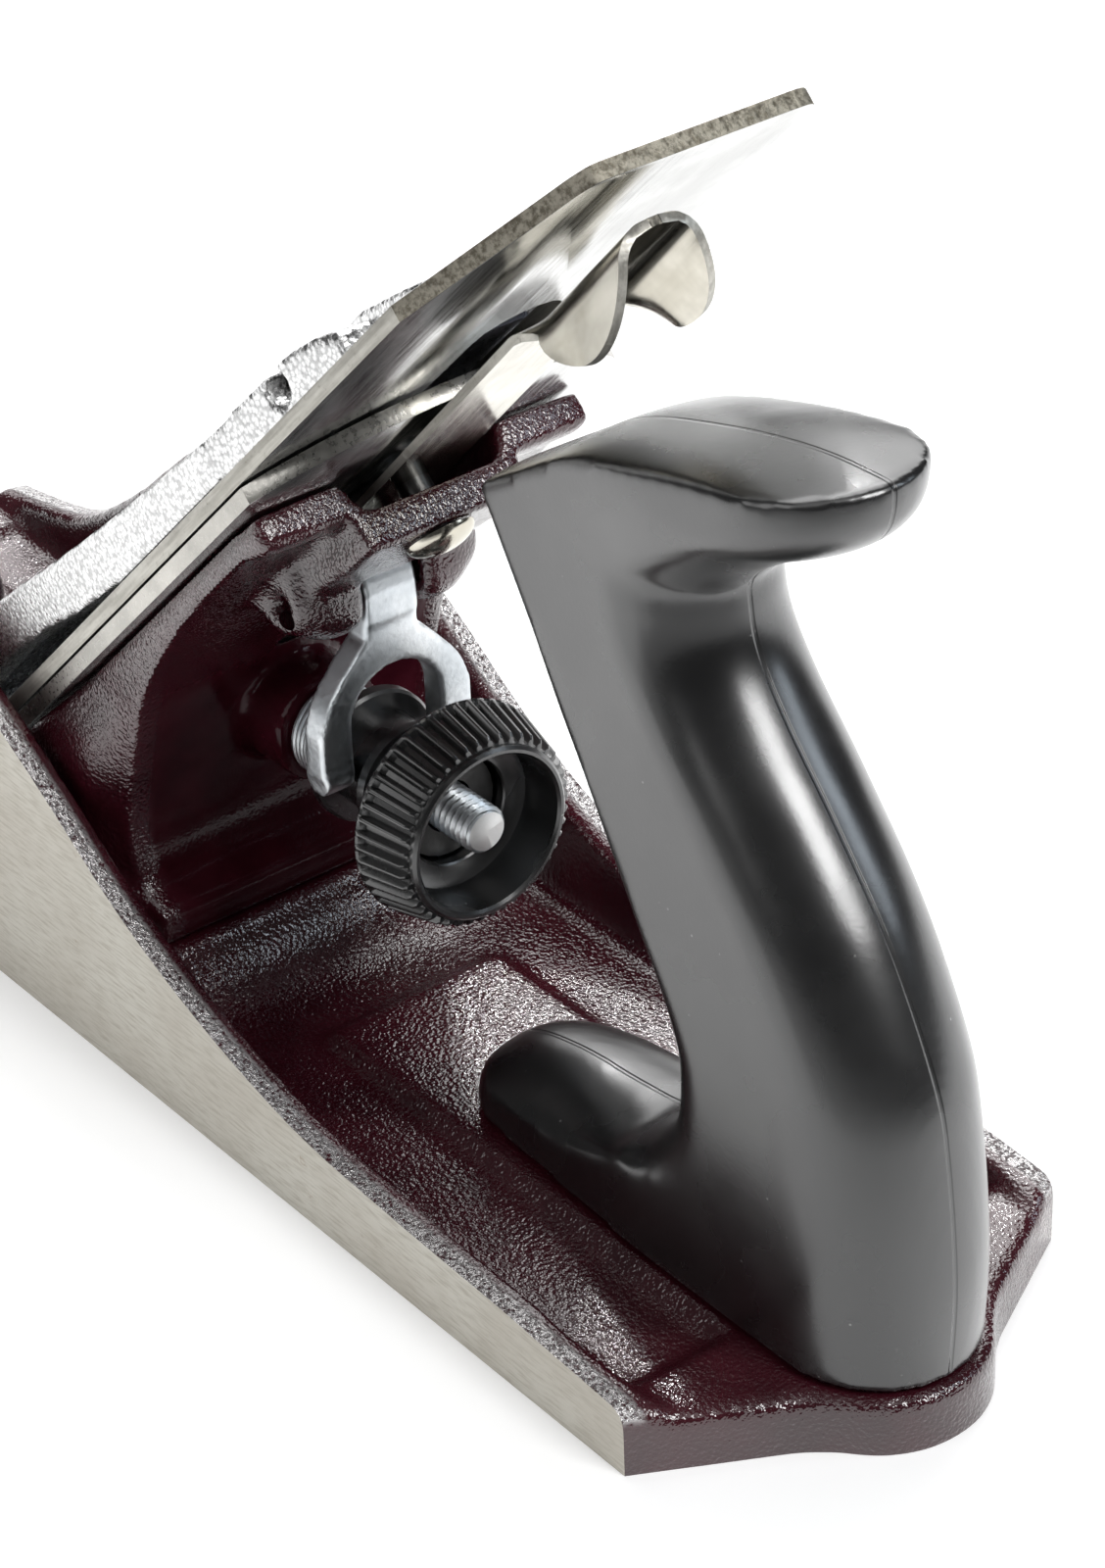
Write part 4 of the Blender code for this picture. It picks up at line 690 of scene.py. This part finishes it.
YOKE_BACK = [(-40, 50), (-23.5, 50), (-23.5, 62.6), (-23.0, 64.4), (-21.6, 66.4), (-19.0, 68.2), (-19, 80),
             (-40, 80)]
YOKE_BACK_HALF = 20


def yoke():
    """Forked lever whose stem is flat behind and turns forward over its pin."""
    obj = new_object("yoke_lever", copy_of("yoke"))
    boolean(obj, "DIFFERENCE", prism(YOKE_BACK, YOKE_BACK_HALF))
    soften(obj, voxel=0.34, rounds=6, keep=0.6)
    finish(obj, "yoke", ZINC)


def depth_stud():
    """Plated stud with a real left-hand thread, a ringed collar and a plain seat in the frog."""
    low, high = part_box("depth_stud")
    tip, seat = low.x / MM, high.x / MM
    collar_front = seat - STUD_SEAT_DEPTH - STUD_GAP
    collar_rear = collar_front - STUD_COLLAR_LENGTH
    core = STUD_RADIUS - THREAD_DEPTH
    rings = [[(tip, 0, STUD_HEIGHT)], round_ring(tip, core)]
    for step in range(1, int((collar_rear - STUD_GAP - tip) / THREAD_PITCH * THREAD_STEPS)):
        x = tip + step * THREAD_PITCH / THREAD_STEPS
        chamfer = core + (x - tip)
        radii = []
        for index in range(STUD_SIDES):
            phase = (x / THREAD_PITCH + index / STUD_SIDES) % 1.0
            valley = min(abs(phase - 0.5) * 2 / THREAD_CREST, 1.0)
            radii.append(min(STUD_RADIUS - THREAD_DEPTH * valley, chamfer))
        rings.append(ring_at(x, radii))
    rings.append(round_ring(collar_rear, core))
    pitch = STUD_COLLAR_LENGTH / COLLAR_RINGS
    for number in range(COLLAR_RINGS):
        x = collar_rear + number * pitch
        for share, drop in COLLAR_RING_SHAPE:
            rings.append(round_ring(x + share * pitch, STUD_COLLAR_RADIUS - drop))
    rings += [round_ring(collar_front, STUD_RADIUS), round_ring(seat, STUD_RADIUS), [(seat, 0, STUD_HEIGHT)]]
    obj = finish(new_object("depth_stud_threaded", skin(rings)), "depth_stud", ZINC, CUT_END, sharp=50)
    for face in obj.data.polygons:
        face.material_index = 1 if face.center.x < (tip + STUD_TIP_DEPTH) * MM else 0


def ring_at(x, radii):
    """Ring of points about the stud's axis, one radius for each."""
    angles = [2 * math.pi * index / STUD_SIDES for index in range(STUD_SIDES)]
    return [(x, radius * math.cos(angle), STUD_HEIGHT + radius * math.sin(angle))
            for radius, angle in zip(radii, angles)]


def round_ring(x, radius):
    """Ring of points about the stud's axis, all at one radius."""
    return ring_at(x, [radius] * STUD_SIDES)


def depth_wheel():
    """Moulded cup with narrow ribs round its tapered wall and a grooved hub in front."""
    low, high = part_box("depth_wheel")
    rear, hub_front = low.x / MM, high.x / MM
    front = rear + 8.0
    front_radius, rear_radius, rim = 13.8, 11.9, 2.1
    bore, groove_radius, neck, hub_radius, pocket = 4.8, 6.1, 6.5, 8.5, 6.7
    cup_floor = rear + 6.3
    pocket_floor = cup_floor + 3.0
    groove_rear = front + 8.0
    groove_front = groove_rear + 6.0
    taper = (front_radius - rear_radius) / (front - rear)
    cup = rear_radius - rim
    soft = 0.35
    profile = [(bore, pocket_floor, 0), (pocket, pocket_floor, 0), (pocket, cup_floor + 0.2, 0),
               (pocket + 0.2, cup_floor, 0), (cup - 1.2, cup_floor, 0), (cup - 0.3, cup_floor - 0.4, 0),
               (cup, cup_floor - 1.2, 0), (cup + 0.1, rear + soft, 0),
               (cup + 0.4, rear, 0), (rear_radius - WHEEL_RIB_DEPTH - soft, rear, 0),
               (rear_radius - WHEEL_RIB_DEPTH, rear + soft, 0),
               (rear_radius - WHEEL_RIB_DEPTH + 0.05, rear + 0.8, 0),
               (rear_radius + taper * 0.9 - 0.35, rear + 0.9, 0.6), (rear_radius + taper * 1.3, rear + 1.3, 1),
               (front_radius - taper * 1.0, front - 1.0, 1), (front_radius - taper * 0.7, front - 0.65, 0.2),
               (front_radius - soft / 2, front - soft, 0), (front_radius - soft, front, 0),
               (neck + 0.6, front, 0), (neck, front + 0.6, 0), (neck, groove_rear - 1.5, 0),
               (neck + 0.8, groove_rear - 1.2, 0), (neck + 0.8, groove_rear, 0), (groove_radius, groove_rear, 0),
               (groove_radius, groove_front, 0),
               (hub_radius - soft, groove_front, 0), (hub_radius, groove_front + soft, 0),
               (hub_radius, hub_front - soft, 0), (hub_radius - soft, hub_front, 0), (bore, hub_front, 0)]
    rings = []
    for radius, x, ribbed in profile:
        ring = []
        for number in range(WHEEL_RIBS):
            for place, depth in WHEEL_RIB:
                angle = 2 * math.pi * (number + place) / WHEEL_RIBS
                reach = radius - ribbed * WHEEL_RIB_DEPTH * depth
                ring.append((x, reach * math.cos(angle), STUD_HEIGHT + reach * math.sin(angle)))
        rings.append(ring)
    finish(new_object("depth_wheel_moulded", skin(rings, closed=True)), "depth_wheel", WHEEL_PLASTIC, sharp=32)


# Lateral lever

PIVOT_S = 113.2
LEVER_TILT = math.radians(-5.0)
LEVER_WIDTH = 11.4
LEVER_THICKNESS = 1.0
LEVER_MIDDLE = 0.8
LEVER_N = -2.4
DISC_SETBACK = 7.8
LEVER_LENGTH = 74.2
TAB_RADIUS = 11.5
FOLD_FLAT = 1.2
FOLD_RADIUS = 3.5
FOLD_ANGLE = 74.0
FOLD_START = 47.0
FOLD_LENGTH = 13.0
LEVER_ROWS = 110
LEVER_COLUMNS = 36
ROWS_AT_ENDS = 0.6
REAR_MARGIN = 0.1
FRONT_MARGIN = 0.02
LEVER_END_HALF = 0.2
TAB_END_HALF = 0.4
RIVET_SIDES = 48


def lever_half_width(along):
    """Half the flat width of the lever at a distance from its pivot."""
    if along < -DISC_SETBACK:
        return math.sqrt(max((LEVER_WIDTH / 2) ** 2 - (along + DISC_SETBACK) ** 2, LEVER_END_HALF ** 2))
    tab = TAB_RADIUS ** 2 - (along - LEVER_LENGTH + TAB_RADIUS) ** 2
    waist = LEVER_WIDTH / 2 if along < LEVER_LENGTH - TAB_RADIUS else 0
    return max(math.sqrt(max(tab, TAB_END_HALF ** 2)), waist)


def lever_section(along, across):
    """Sideways place, drop and slope of a point of the folded plate."""
    fold = math.radians(FOLD_ANGLE) * ease((along - FOLD_START) / FOLD_LENGTH)
    bend = max(abs(across) - FOLD_FLAT, 0)
    angle = min(bend / FOLD_RADIUS, fold)
    straight = bend - FOLD_RADIUS * angle
    y = min(abs(across), FOLD_FLAT) + FOLD_RADIUS * math.sin(angle) + straight * math.cos(angle)
    drop = FOLD_RADIUS * (1 - math.cos(angle)) + straight * math.sin(angle)
    side = math.copysign(1, across)
    return side * y, drop, side * angle


def lateral_lever():
    """Plate with a round end over the disc and a folded tab, skinned over rows that are closer at its ends."""
    start = -DISC_SETBACK - LEVER_WIDTH / 2
    length = LEVER_LENGTH - REAR_MARGIN - FRONT_MARGIN - start
    rings = []
    for row in range(LEVER_ROWS + 1):
        share = row / LEVER_ROWS
        crowded = 0.5 - 0.5 * math.cos(math.pi * share)
        along = start + REAR_MARGIN + length * ((1 - ROWS_AT_ENDS) * share + ROWS_AT_ENDS * crowded)
        half = lever_half_width(along)
        upper, lower = [], []
        for column in range(LEVER_COLUMNS + 1):
            spread = 2 * column / LEVER_COLUMNS - 1
            y, drop, angle = lever_section(along, half * spread)
            middle = LEVER_MIDDLE - drop
            dy = math.sin(angle) * LEVER_THICKNESS / 2
            dn = math.cos(angle) * LEVER_THICKNESS / 2
            upper.append((-along, y + dy, middle + dn))
            lower.append((-along, y - dy, middle - dn))
        rings.append(upper + lower[::-1])
    pivot = BED @ Matrix.Translation((-PIVOT_S * MM, 0, LEVER_N * MM)) @ Matrix.Rotation(LEVER_TILT, 4, "Z")
    obj = new_object("lateral_lever_plate", skin(rings), pivot)
    finish(obj, "lateral_lever", NICKEL, SHEARED, sharp=50)
    faces_around = 2 * LEVER_COLUMNS + 2
    edge_columns = {LEVER_COLUMNS, faces_around - 1}
    for index, face in enumerate(obj.data.polygons):
        if index % faces_around in edge_columns:
            face.material_index = 1


def lateral_rivet():
    """Rivet whose head and shank are near-black as painted shade, with a bright domed end under the frog's ledge.
    """
    head_top, head_low, head, head_flat, chamfer = 0.0, -0.5, 3.0, 2.7, 0.2
    shank, shank_end = 2.0, 0.1
    dome_top, dome, height = -8.8, 4.2, 2.0
    profile = [(0, head_top), (head_flat, head_top), (head, head_top - chamfer), (head, head_low),
               (shank, head_low), (shank, dome_top)]
    profile += [(dome * math.cos(math.radians(a)), dome_top - height * math.sin(math.radians(a)))
                for a in range(0, 90, 9)]
    profile.append((0, dome_top - height))
    mesh = turned(profile, RIVET_SIDES, (-PIVOT_S, 0))
    obj = finish(new_object("lateral_rivet_domed", mesh, BED), "lateral_rivet", NICKEL, SHADE_DARK_STEEL, sharp=50)
    # Head and shank get the near-black steel: painted shade.
    for face in obj.data.polygons:
        face.material_index = 1 if face.center.z > (dome_top + shank_end) * MM else 0


# Lever cap and cam

CAM_PIN_S = 134.0
CAM_HOLE = 1.8
CAM_HOLE_REACH = 40


def lever_cap():
    """Softened casting with the cam pin's hole bored clean."""
    obj = new_object("lever_cap_casting", copy_of("lever_cap", BED), BED)
    soften(obj, voxel=0.55, rounds=5, keep=0.55)
    low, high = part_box("cam_pin")
    pin_height = bed_place((low + high) / 2 / MM)[1]
    drill(obj, CAM_HOLE, CAM_HOLE_REACH, (-CAM_PIN_S, pin_height))
    finish(obj, "lever_cap", HAMMERED)


def cam_lever():
    """Well rounded casting."""
    obj = new_object("cam_lever_casting", copy_of("cam_lever", BED), BED)
    soften(obj, voxel=0.42, rounds=14, keep=0.7)
    finish(obj, "cam_lever", HAMMERED)


# Handles

TOTE_BACK = [(7.0, -16.8), (20, -17.4), (35, -16.0), (44, -13.8), (57, -6.9), (68, 1.6), (77, 9.4), (83, 13.4),
             (88, 14.7), (92, 14.0), (98.3, 5.0), (102.4, -2.6), (105.4, -5.7), (108.5, -6.7), (112, -6.7)]
TOTE_FRONT = [(7.0, 59.5), (10.5, 58.4), (14.2, 54.0), (16.6, 45), (17.8, 34), (19.4, 26.0), (25, 21.0), (33, 19.6),
              (40.5, 21.0), (55, 28.8), (75, 40.6), (88, 48.4), (92, 50.8), (112, 62)]
TOTE_TOE = [(20.3, 31), (21.6, 25), (26, 19.0), (34, 17.4), (45, 16.2), (54, 13.8), (58, 10.3), (60.5, 4)]
TOTE_TOP = [(-12, 111.3), (-5, 111.0), (2, 110.6), (9.5, 109.4), (18.5, 107.2), (31, 103.1), (41, 97), (62, 83)]
TOTE_HALF = [(15, 12.0), (50, 11.1), (75, 10.6), (92, 10.6), (102, 11.3)]
TOTE_ROUND_FRONT = [(20, 10.0), (45, 7.5), (70, 4.0), (90, 2.5)]
TOTE_LIFT = 0.3
TOTE_FOOT = 7
TOTE_RISE = 105
TOTE_LEVELS = 210
TOTE_ROOF = 222
TOTE_BACK_ROUND = 1.1
TOTE_TURN_STEPS = 16
TOTE_FLAT_STEPS = 8
TOTE_TAPER_START = 20
TOTE_WIDTH_LOSS = 0.0055
TOTE_TOP_CROWN = 0.010
TOTE_TOE_CROWN = 0.040
TOTE_TOE_SHARE = [(22, 0.0), (34, 0.75), (42, 1.0)]
TOE_ROOT_X = (19, 40)
TOE_ROOT_Z = (12, 36)
CROWN_HALF_WIDTH = 24
TOTE_CURVE_STEPS = 8
KNOB_OUTLINE = [(12.6, 0), (13.2, 0.6), (13.2, 3), (11.0, 10), (9.6, 18), (10.6, 26), (14.0, 34), (15.8, 42),
                (14.8, 49), (10.0, 54.6), (4.0, 56.7)]
KNOB_CURVE_STEPS = 6
KNOB_BORE = 4.9
KNOB_BORE_DEPTH = 16.6
KNOB_SIDES = 72


def tote_section(z, back_line, front_line):
    """Level section of the tote: round behind, flat sided, lightly rounded in front."""
    half = level(TOTE_HALF, z)
    back, front = level(back_line, z), level(front_line, z)
    round_back, round_front = half * TOTE_BACK_ROUND, level(TOTE_ROUND_FRONT, z)
    turn = [math.radians(90 * step / TOTE_TURN_STEPS) for step in range(TOTE_TURN_STEPS + 1)]
    side = [(back + round_back * (1 - math.cos(a)), half * math.sin(a)) for a in turn]
    run = front - round_front - back - round_back
    side += [(back + round_back + run * step / TOTE_FLAT_STEPS, half) for step in range(1, TOTE_FLAT_STEPS)]
    side += [(front - round_front * (1 - math.sin(a)), half * math.cos(a)) for a in turn]
    shaped = [(HEEL_CORNER + x, y * (1 - TOTE_WIDTH_LOSS * max(x - TOTE_TAPER_START, 0)), z + TOTE_LIFT)
              for x, y in side]
    return shaped + [(x, -y, height) for x, y, height in reversed(shaped[1:-1])]


def crowned_tool(line, crown, roof):
    """Tool that leaves a crest along a line of x and z, falling away to both sides by the crown at each x."""
    slices = []
    for y in range(-CROWN_HALF_WIDTH, CROWN_HALF_WIDTH + 1):
        edge = [(HEEL_CORNER + x, y, z - crown(x) * y * y) for x, z in line]
        slices.append(edge + [(HEEL_CORNER + x, y, z) for x, z in roof])
    return skin(slices)


def toe_root(place):
    """Tells whether a place of the tote is in the hollow where the toe meets the grip."""
    x_low, x_high = TOE_ROOT_X
    z_low, z_high = TOE_ROOT_Z
    return x_low < place.x - HEEL_CORNER < x_high and z_low < place.z < z_high


def tote():
    """Handle stacked from level sections, then cut to its crowned top and the crowned upper side of its toe."""
    back_line, front_line = curve(TOTE_BACK, TOTE_CURVE_STEPS), curve(TOTE_FRONT, TOTE_CURVE_STEPS)
    levels = [TOTE_FOOT + TOTE_RISE * step / TOTE_LEVELS for step in range(TOTE_LEVELS + 1)]
    obj = new_object("tote_moulded", skin([tote_section(z, back_line, front_line) for z in levels]))
    crest = [(x, z + TOTE_LIFT) for x, z in curve(TOTE_TOP, TOTE_CURVE_STEPS)]
    roof = [(crest[-1][0], TOTE_ROOF), (crest[0][0], TOTE_ROOF)]
    boolean(obj, "DIFFERENCE", crowned_tool(crest, lambda x: TOTE_TOP_CROWN, roof))
    toe = [(x, z + TOTE_LIFT) for x, z in curve(TOTE_TOE, TOTE_CURVE_STEPS)]
    roof = [(toe[-1][0] + 1, toe[0][1])]
    boolean(obj, "DIFFERENCE", crowned_tool(toe, lambda x: TOTE_TOE_CROWN * level(TOTE_TOE_SHARE, x), roof))
    soften(obj, voxel=0.68, rounds=6, melt=toe_root, melt_rounds=40)
    finish(obj, "tote", TOTE_PLASTIC, sharp=180)


def front_knob():
    """Turned knob with a bore for its insert."""
    low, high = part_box("front_knob")
    middle = (low + high) / 2 / MM
    base, top = low.z / MM, high.z / MM
    outer = curve(KNOB_OUTLINE, KNOB_CURVE_STEPS)
    profile = [(0, top)] + [(radius, base + height) for radius, height in reversed(outer)]
    profile += [(KNOB_BORE, base), (KNOB_BORE, base + KNOB_BORE_DEPTH), (0, base + KNOB_BORE_DEPTH)]
    mesh = turned(profile, KNOB_SIDES, (middle.x, 0))
    finish(new_object("front_knob_moulded", mesh), "front_knob", KNOB_PLASTIC, sharp=50)


# Small parts that keep their CAD shape

# Pins, the wheel's bush and the lateral disc get near-black steel as painted shade.
SMALL_PARTS = {
    "frog_screw_left": PLAIN_STEEL, "frog_screw_right": PLAIN_STEEL, "frog_washer_left": ZINC,
    "frog_washer_right": ZINC, "cap_iron_screw": PLAIN_STEEL, "yoke_pin": SHADE_DARK_STEEL, "wheel_bush": SHADE_DARK_STEEL,
    "lateral_disc": SHADE_DARK_STEEL, "lever_cap_screw": PLAIN_STEEL, "cam_pin": SHADE_DARK_STEEL, "lever_cap_spring": BLUED,
    "spring_rivet": PLAIN_STEEL, "tote_rear_screw": ZINC, "tote_front_screw": ZINC, "knob_screw": ZINC,
    "tote_rear_insert": BRASS, "tote_front_insert": BRASS, "knob_insert": BRASS}


def small_parts():
    """Gives each small part its finish."""
    for node, material in SMALL_PARTS.items():
        NODES[node].data.materials.clear()
        NODES[node].data.materials.append(material)


# Studio

CAMERA_PLACE = (-0.3923, 0.2569, 0.3240)
CAMERA_AZIMUTH = 37.08
CAMERA_ELEVATION = 32.72
CAMERA_ROLL = -2.15
FOCAL_PIXELS = 4673.3
IMAGE_HEIGHT = 1600
FLOOR_HALF = 3000
FLOOR_FADE = (-0.26, -0.125)
FLOOR_PALE = ((0.78, 0.78, 0.78), (0.80, 0.80, 0.80))
FLOOR_GREY = (0.45, 0.45, 0.45)
GLOW_ON_GREY = 0.85
GLOW_ON_PALE = 0.40
GLOW_FAR = 1.0
FAR_BAND = (0.40, 0.90)
WORLD_FILL = 0.06
WHITE = (1, 1, 1)
DAYLIGHT = (0.80, 0.90, 1.0)
LAMP_TARGET = (-0.02, 0, 0.05)

# Name, place, size, watts and colour of each soft box
LAMPS = [
    ("sparkle", (0.80, -0.60, 0.84), (0.07, 0.07), 2.2, WHITE),
    ("front_right", (0.85, -0.66, 0.76), (1.4, 1.1), 8.5, WHITE),
    ("overhead", (0.40, -0.30, 1.15), (0.9, 0.9), 8.0, WHITE),
    ("rear_key", (-0.72, -0.14, 0.66), (0.30, 0.42), 4.4, WHITE),
    ("window", (-0.57, -0.66, 0.50), (0.20, 0.40), 0.9, DAYLIGHT),
    ("high_left", (-0.42, 0.30, 1.10), (0.8, 0.8), 1.5, WHITE),
    ("left", (0.0, 1.0, 0.70), (0.8, 0.8), 3.0, WHITE)]


def camera():
    """Camera fitted to the photograph."""
    azimuth, elevation, roll = [math.radians(a) for a in (CAMERA_AZIMUTH, CAMERA_ELEVATION, CAMERA_ROLL)]
    forward = Vector((math.cos(elevation) * math.cos(azimuth), -math.cos(elevation) * math.sin(azimuth),
                      -math.sin(elevation)))
    right = forward.cross(Vector((0, 0, 1))).normalized()
    up = right.cross(forward)
    turned_right = right * math.cos(roll) + up * math.sin(roll)
    turned_up = up * math.cos(roll) - right * math.sin(roll)
    data = bpy.data.cameras.new("camera")
    data.sensor_width = 36
    data.lens = FOCAL_PIXELS * data.sensor_width / IMAGE_HEIGHT
    data.clip_start = 0.01
    obj = bpy.data.objects.new("camera", data)
    axes = Matrix((turned_right, turned_up, -forward)).transposed()
    obj.matrix_world = Matrix.Translation(CAMERA_PLACE) @ axes.to_4x4()
    bpy.context.scene.collection.objects.link(obj)
    bpy.context.scene.camera = obj


def lamp(name, place, size, power, colour):
    """Soft box at a place, facing the middle of the plane."""
    data = bpy.data.lights.new(name, "AREA")
    data.shape = "RECTANGLE"
    data.size, data.size_y = size
    data.energy = power
    data.color = colour
    obj = bpy.data.objects.new(name, data)
    direction = Vector(LAMP_TARGET) - Vector(place)
    obj.matrix_world = Matrix.Translation(place) @ direction.to_track_quat("-Z", "Y").to_matrix().to_4x4()
    bpy.context.scene.collection.objects.link(obj)


def floor():
    """Table that the camera sees as white, with the shadow kept.

    Its near part, towards the photograph's viewpoint, is greyer, so that the plane reflects less of it.
    """
    mesh = bmesh.new()
    bmesh.ops.create_grid(mesh, x_segments=1, y_segments=1, size=FLOOR_HALF)
    obj = new_object("floor", mesh)
    f = Finish("white_table")
    turn = (0, 0, math.radians(CAMERA_AZIMUTH))
    aligned = f.add("Mapping", {"Vector": f.place, "Rotation": turn}).outputs["Vector"]
    pale = f.band(f.axis("X", aligned), *FLOOR_FADE)
    tint = f.blend(f.noise(3, 2), *FLOOR_PALE)
    tint = f.blend(pale, FLOOR_GREY, tint)
    f.set(Base_Color=tint, Roughness=0.9, Specular_IOR_Level=0.0)
    away = f.add("VectorMath", {"Vector": f.place}, operation="LENGTH").outputs["Value"]
    to_camera = f.math("MAXIMUM", f.band(pale, 0.0, 1.0, GLOW_ON_GREY, GLOW_ON_PALE),
                       f.band(away, *FAR_BAND, GLOW_ON_PALE, GLOW_FAR))
    to_gloss = f.math("MULTIPLY", pale, GLOW_ON_PALE)
    rays = f.add("LightPath", {})
    seen = f.math("MULTIPLY", rays.outputs["Is Camera Ray"], to_camera)
    glow = f.math("ADD", seen, f.math("MULTIPLY", rays.outputs["Is Glossy Ray"], to_gloss))
    f.set(Emission_Color=(1.0, 1.0, 1.0), Emission_Strength=glow)
    obj.data.materials.append(f.material)


def world():
    """Backdrop that is white to the camera and a faint fill light to the plane."""
    data = bpy.data.worlds.new("studio")
    data.use_nodes = True
    shade = data.node_tree.nodes["Background"]
    shade.inputs["Color"].default_value = (1.0, 1.0, 1.0, 1.0)
    rays = data.node_tree.nodes.new("ShaderNodeLightPath")
    strength = data.node_tree.nodes.new("ShaderNodeMapRange")
    strength.inputs["To Min"].default_value = WORLD_FILL
    data.node_tree.links.new(rays.outputs["Is Camera Ray"], strength.inputs["Value"])
    data.node_tree.links.new(strength.outputs["Result"], shade.inputs["Strength"])
    bpy.context.scene.world = data


def studio():
    """Camera, table, backdrop and lamps."""
    camera()
    floor()
    world()
    for row in LAMPS:
        lamp(*row)
    bpy.context.scene.view_settings.view_transform = "Standard"


for build in (body_casting, frog, cutter, cap_iron, yoke, depth_stud, depth_wheel, lateral_lever, lateral_rivet,
              lever_cap, cam_lever, tote, front_knob, small_parts, studio):
    build()
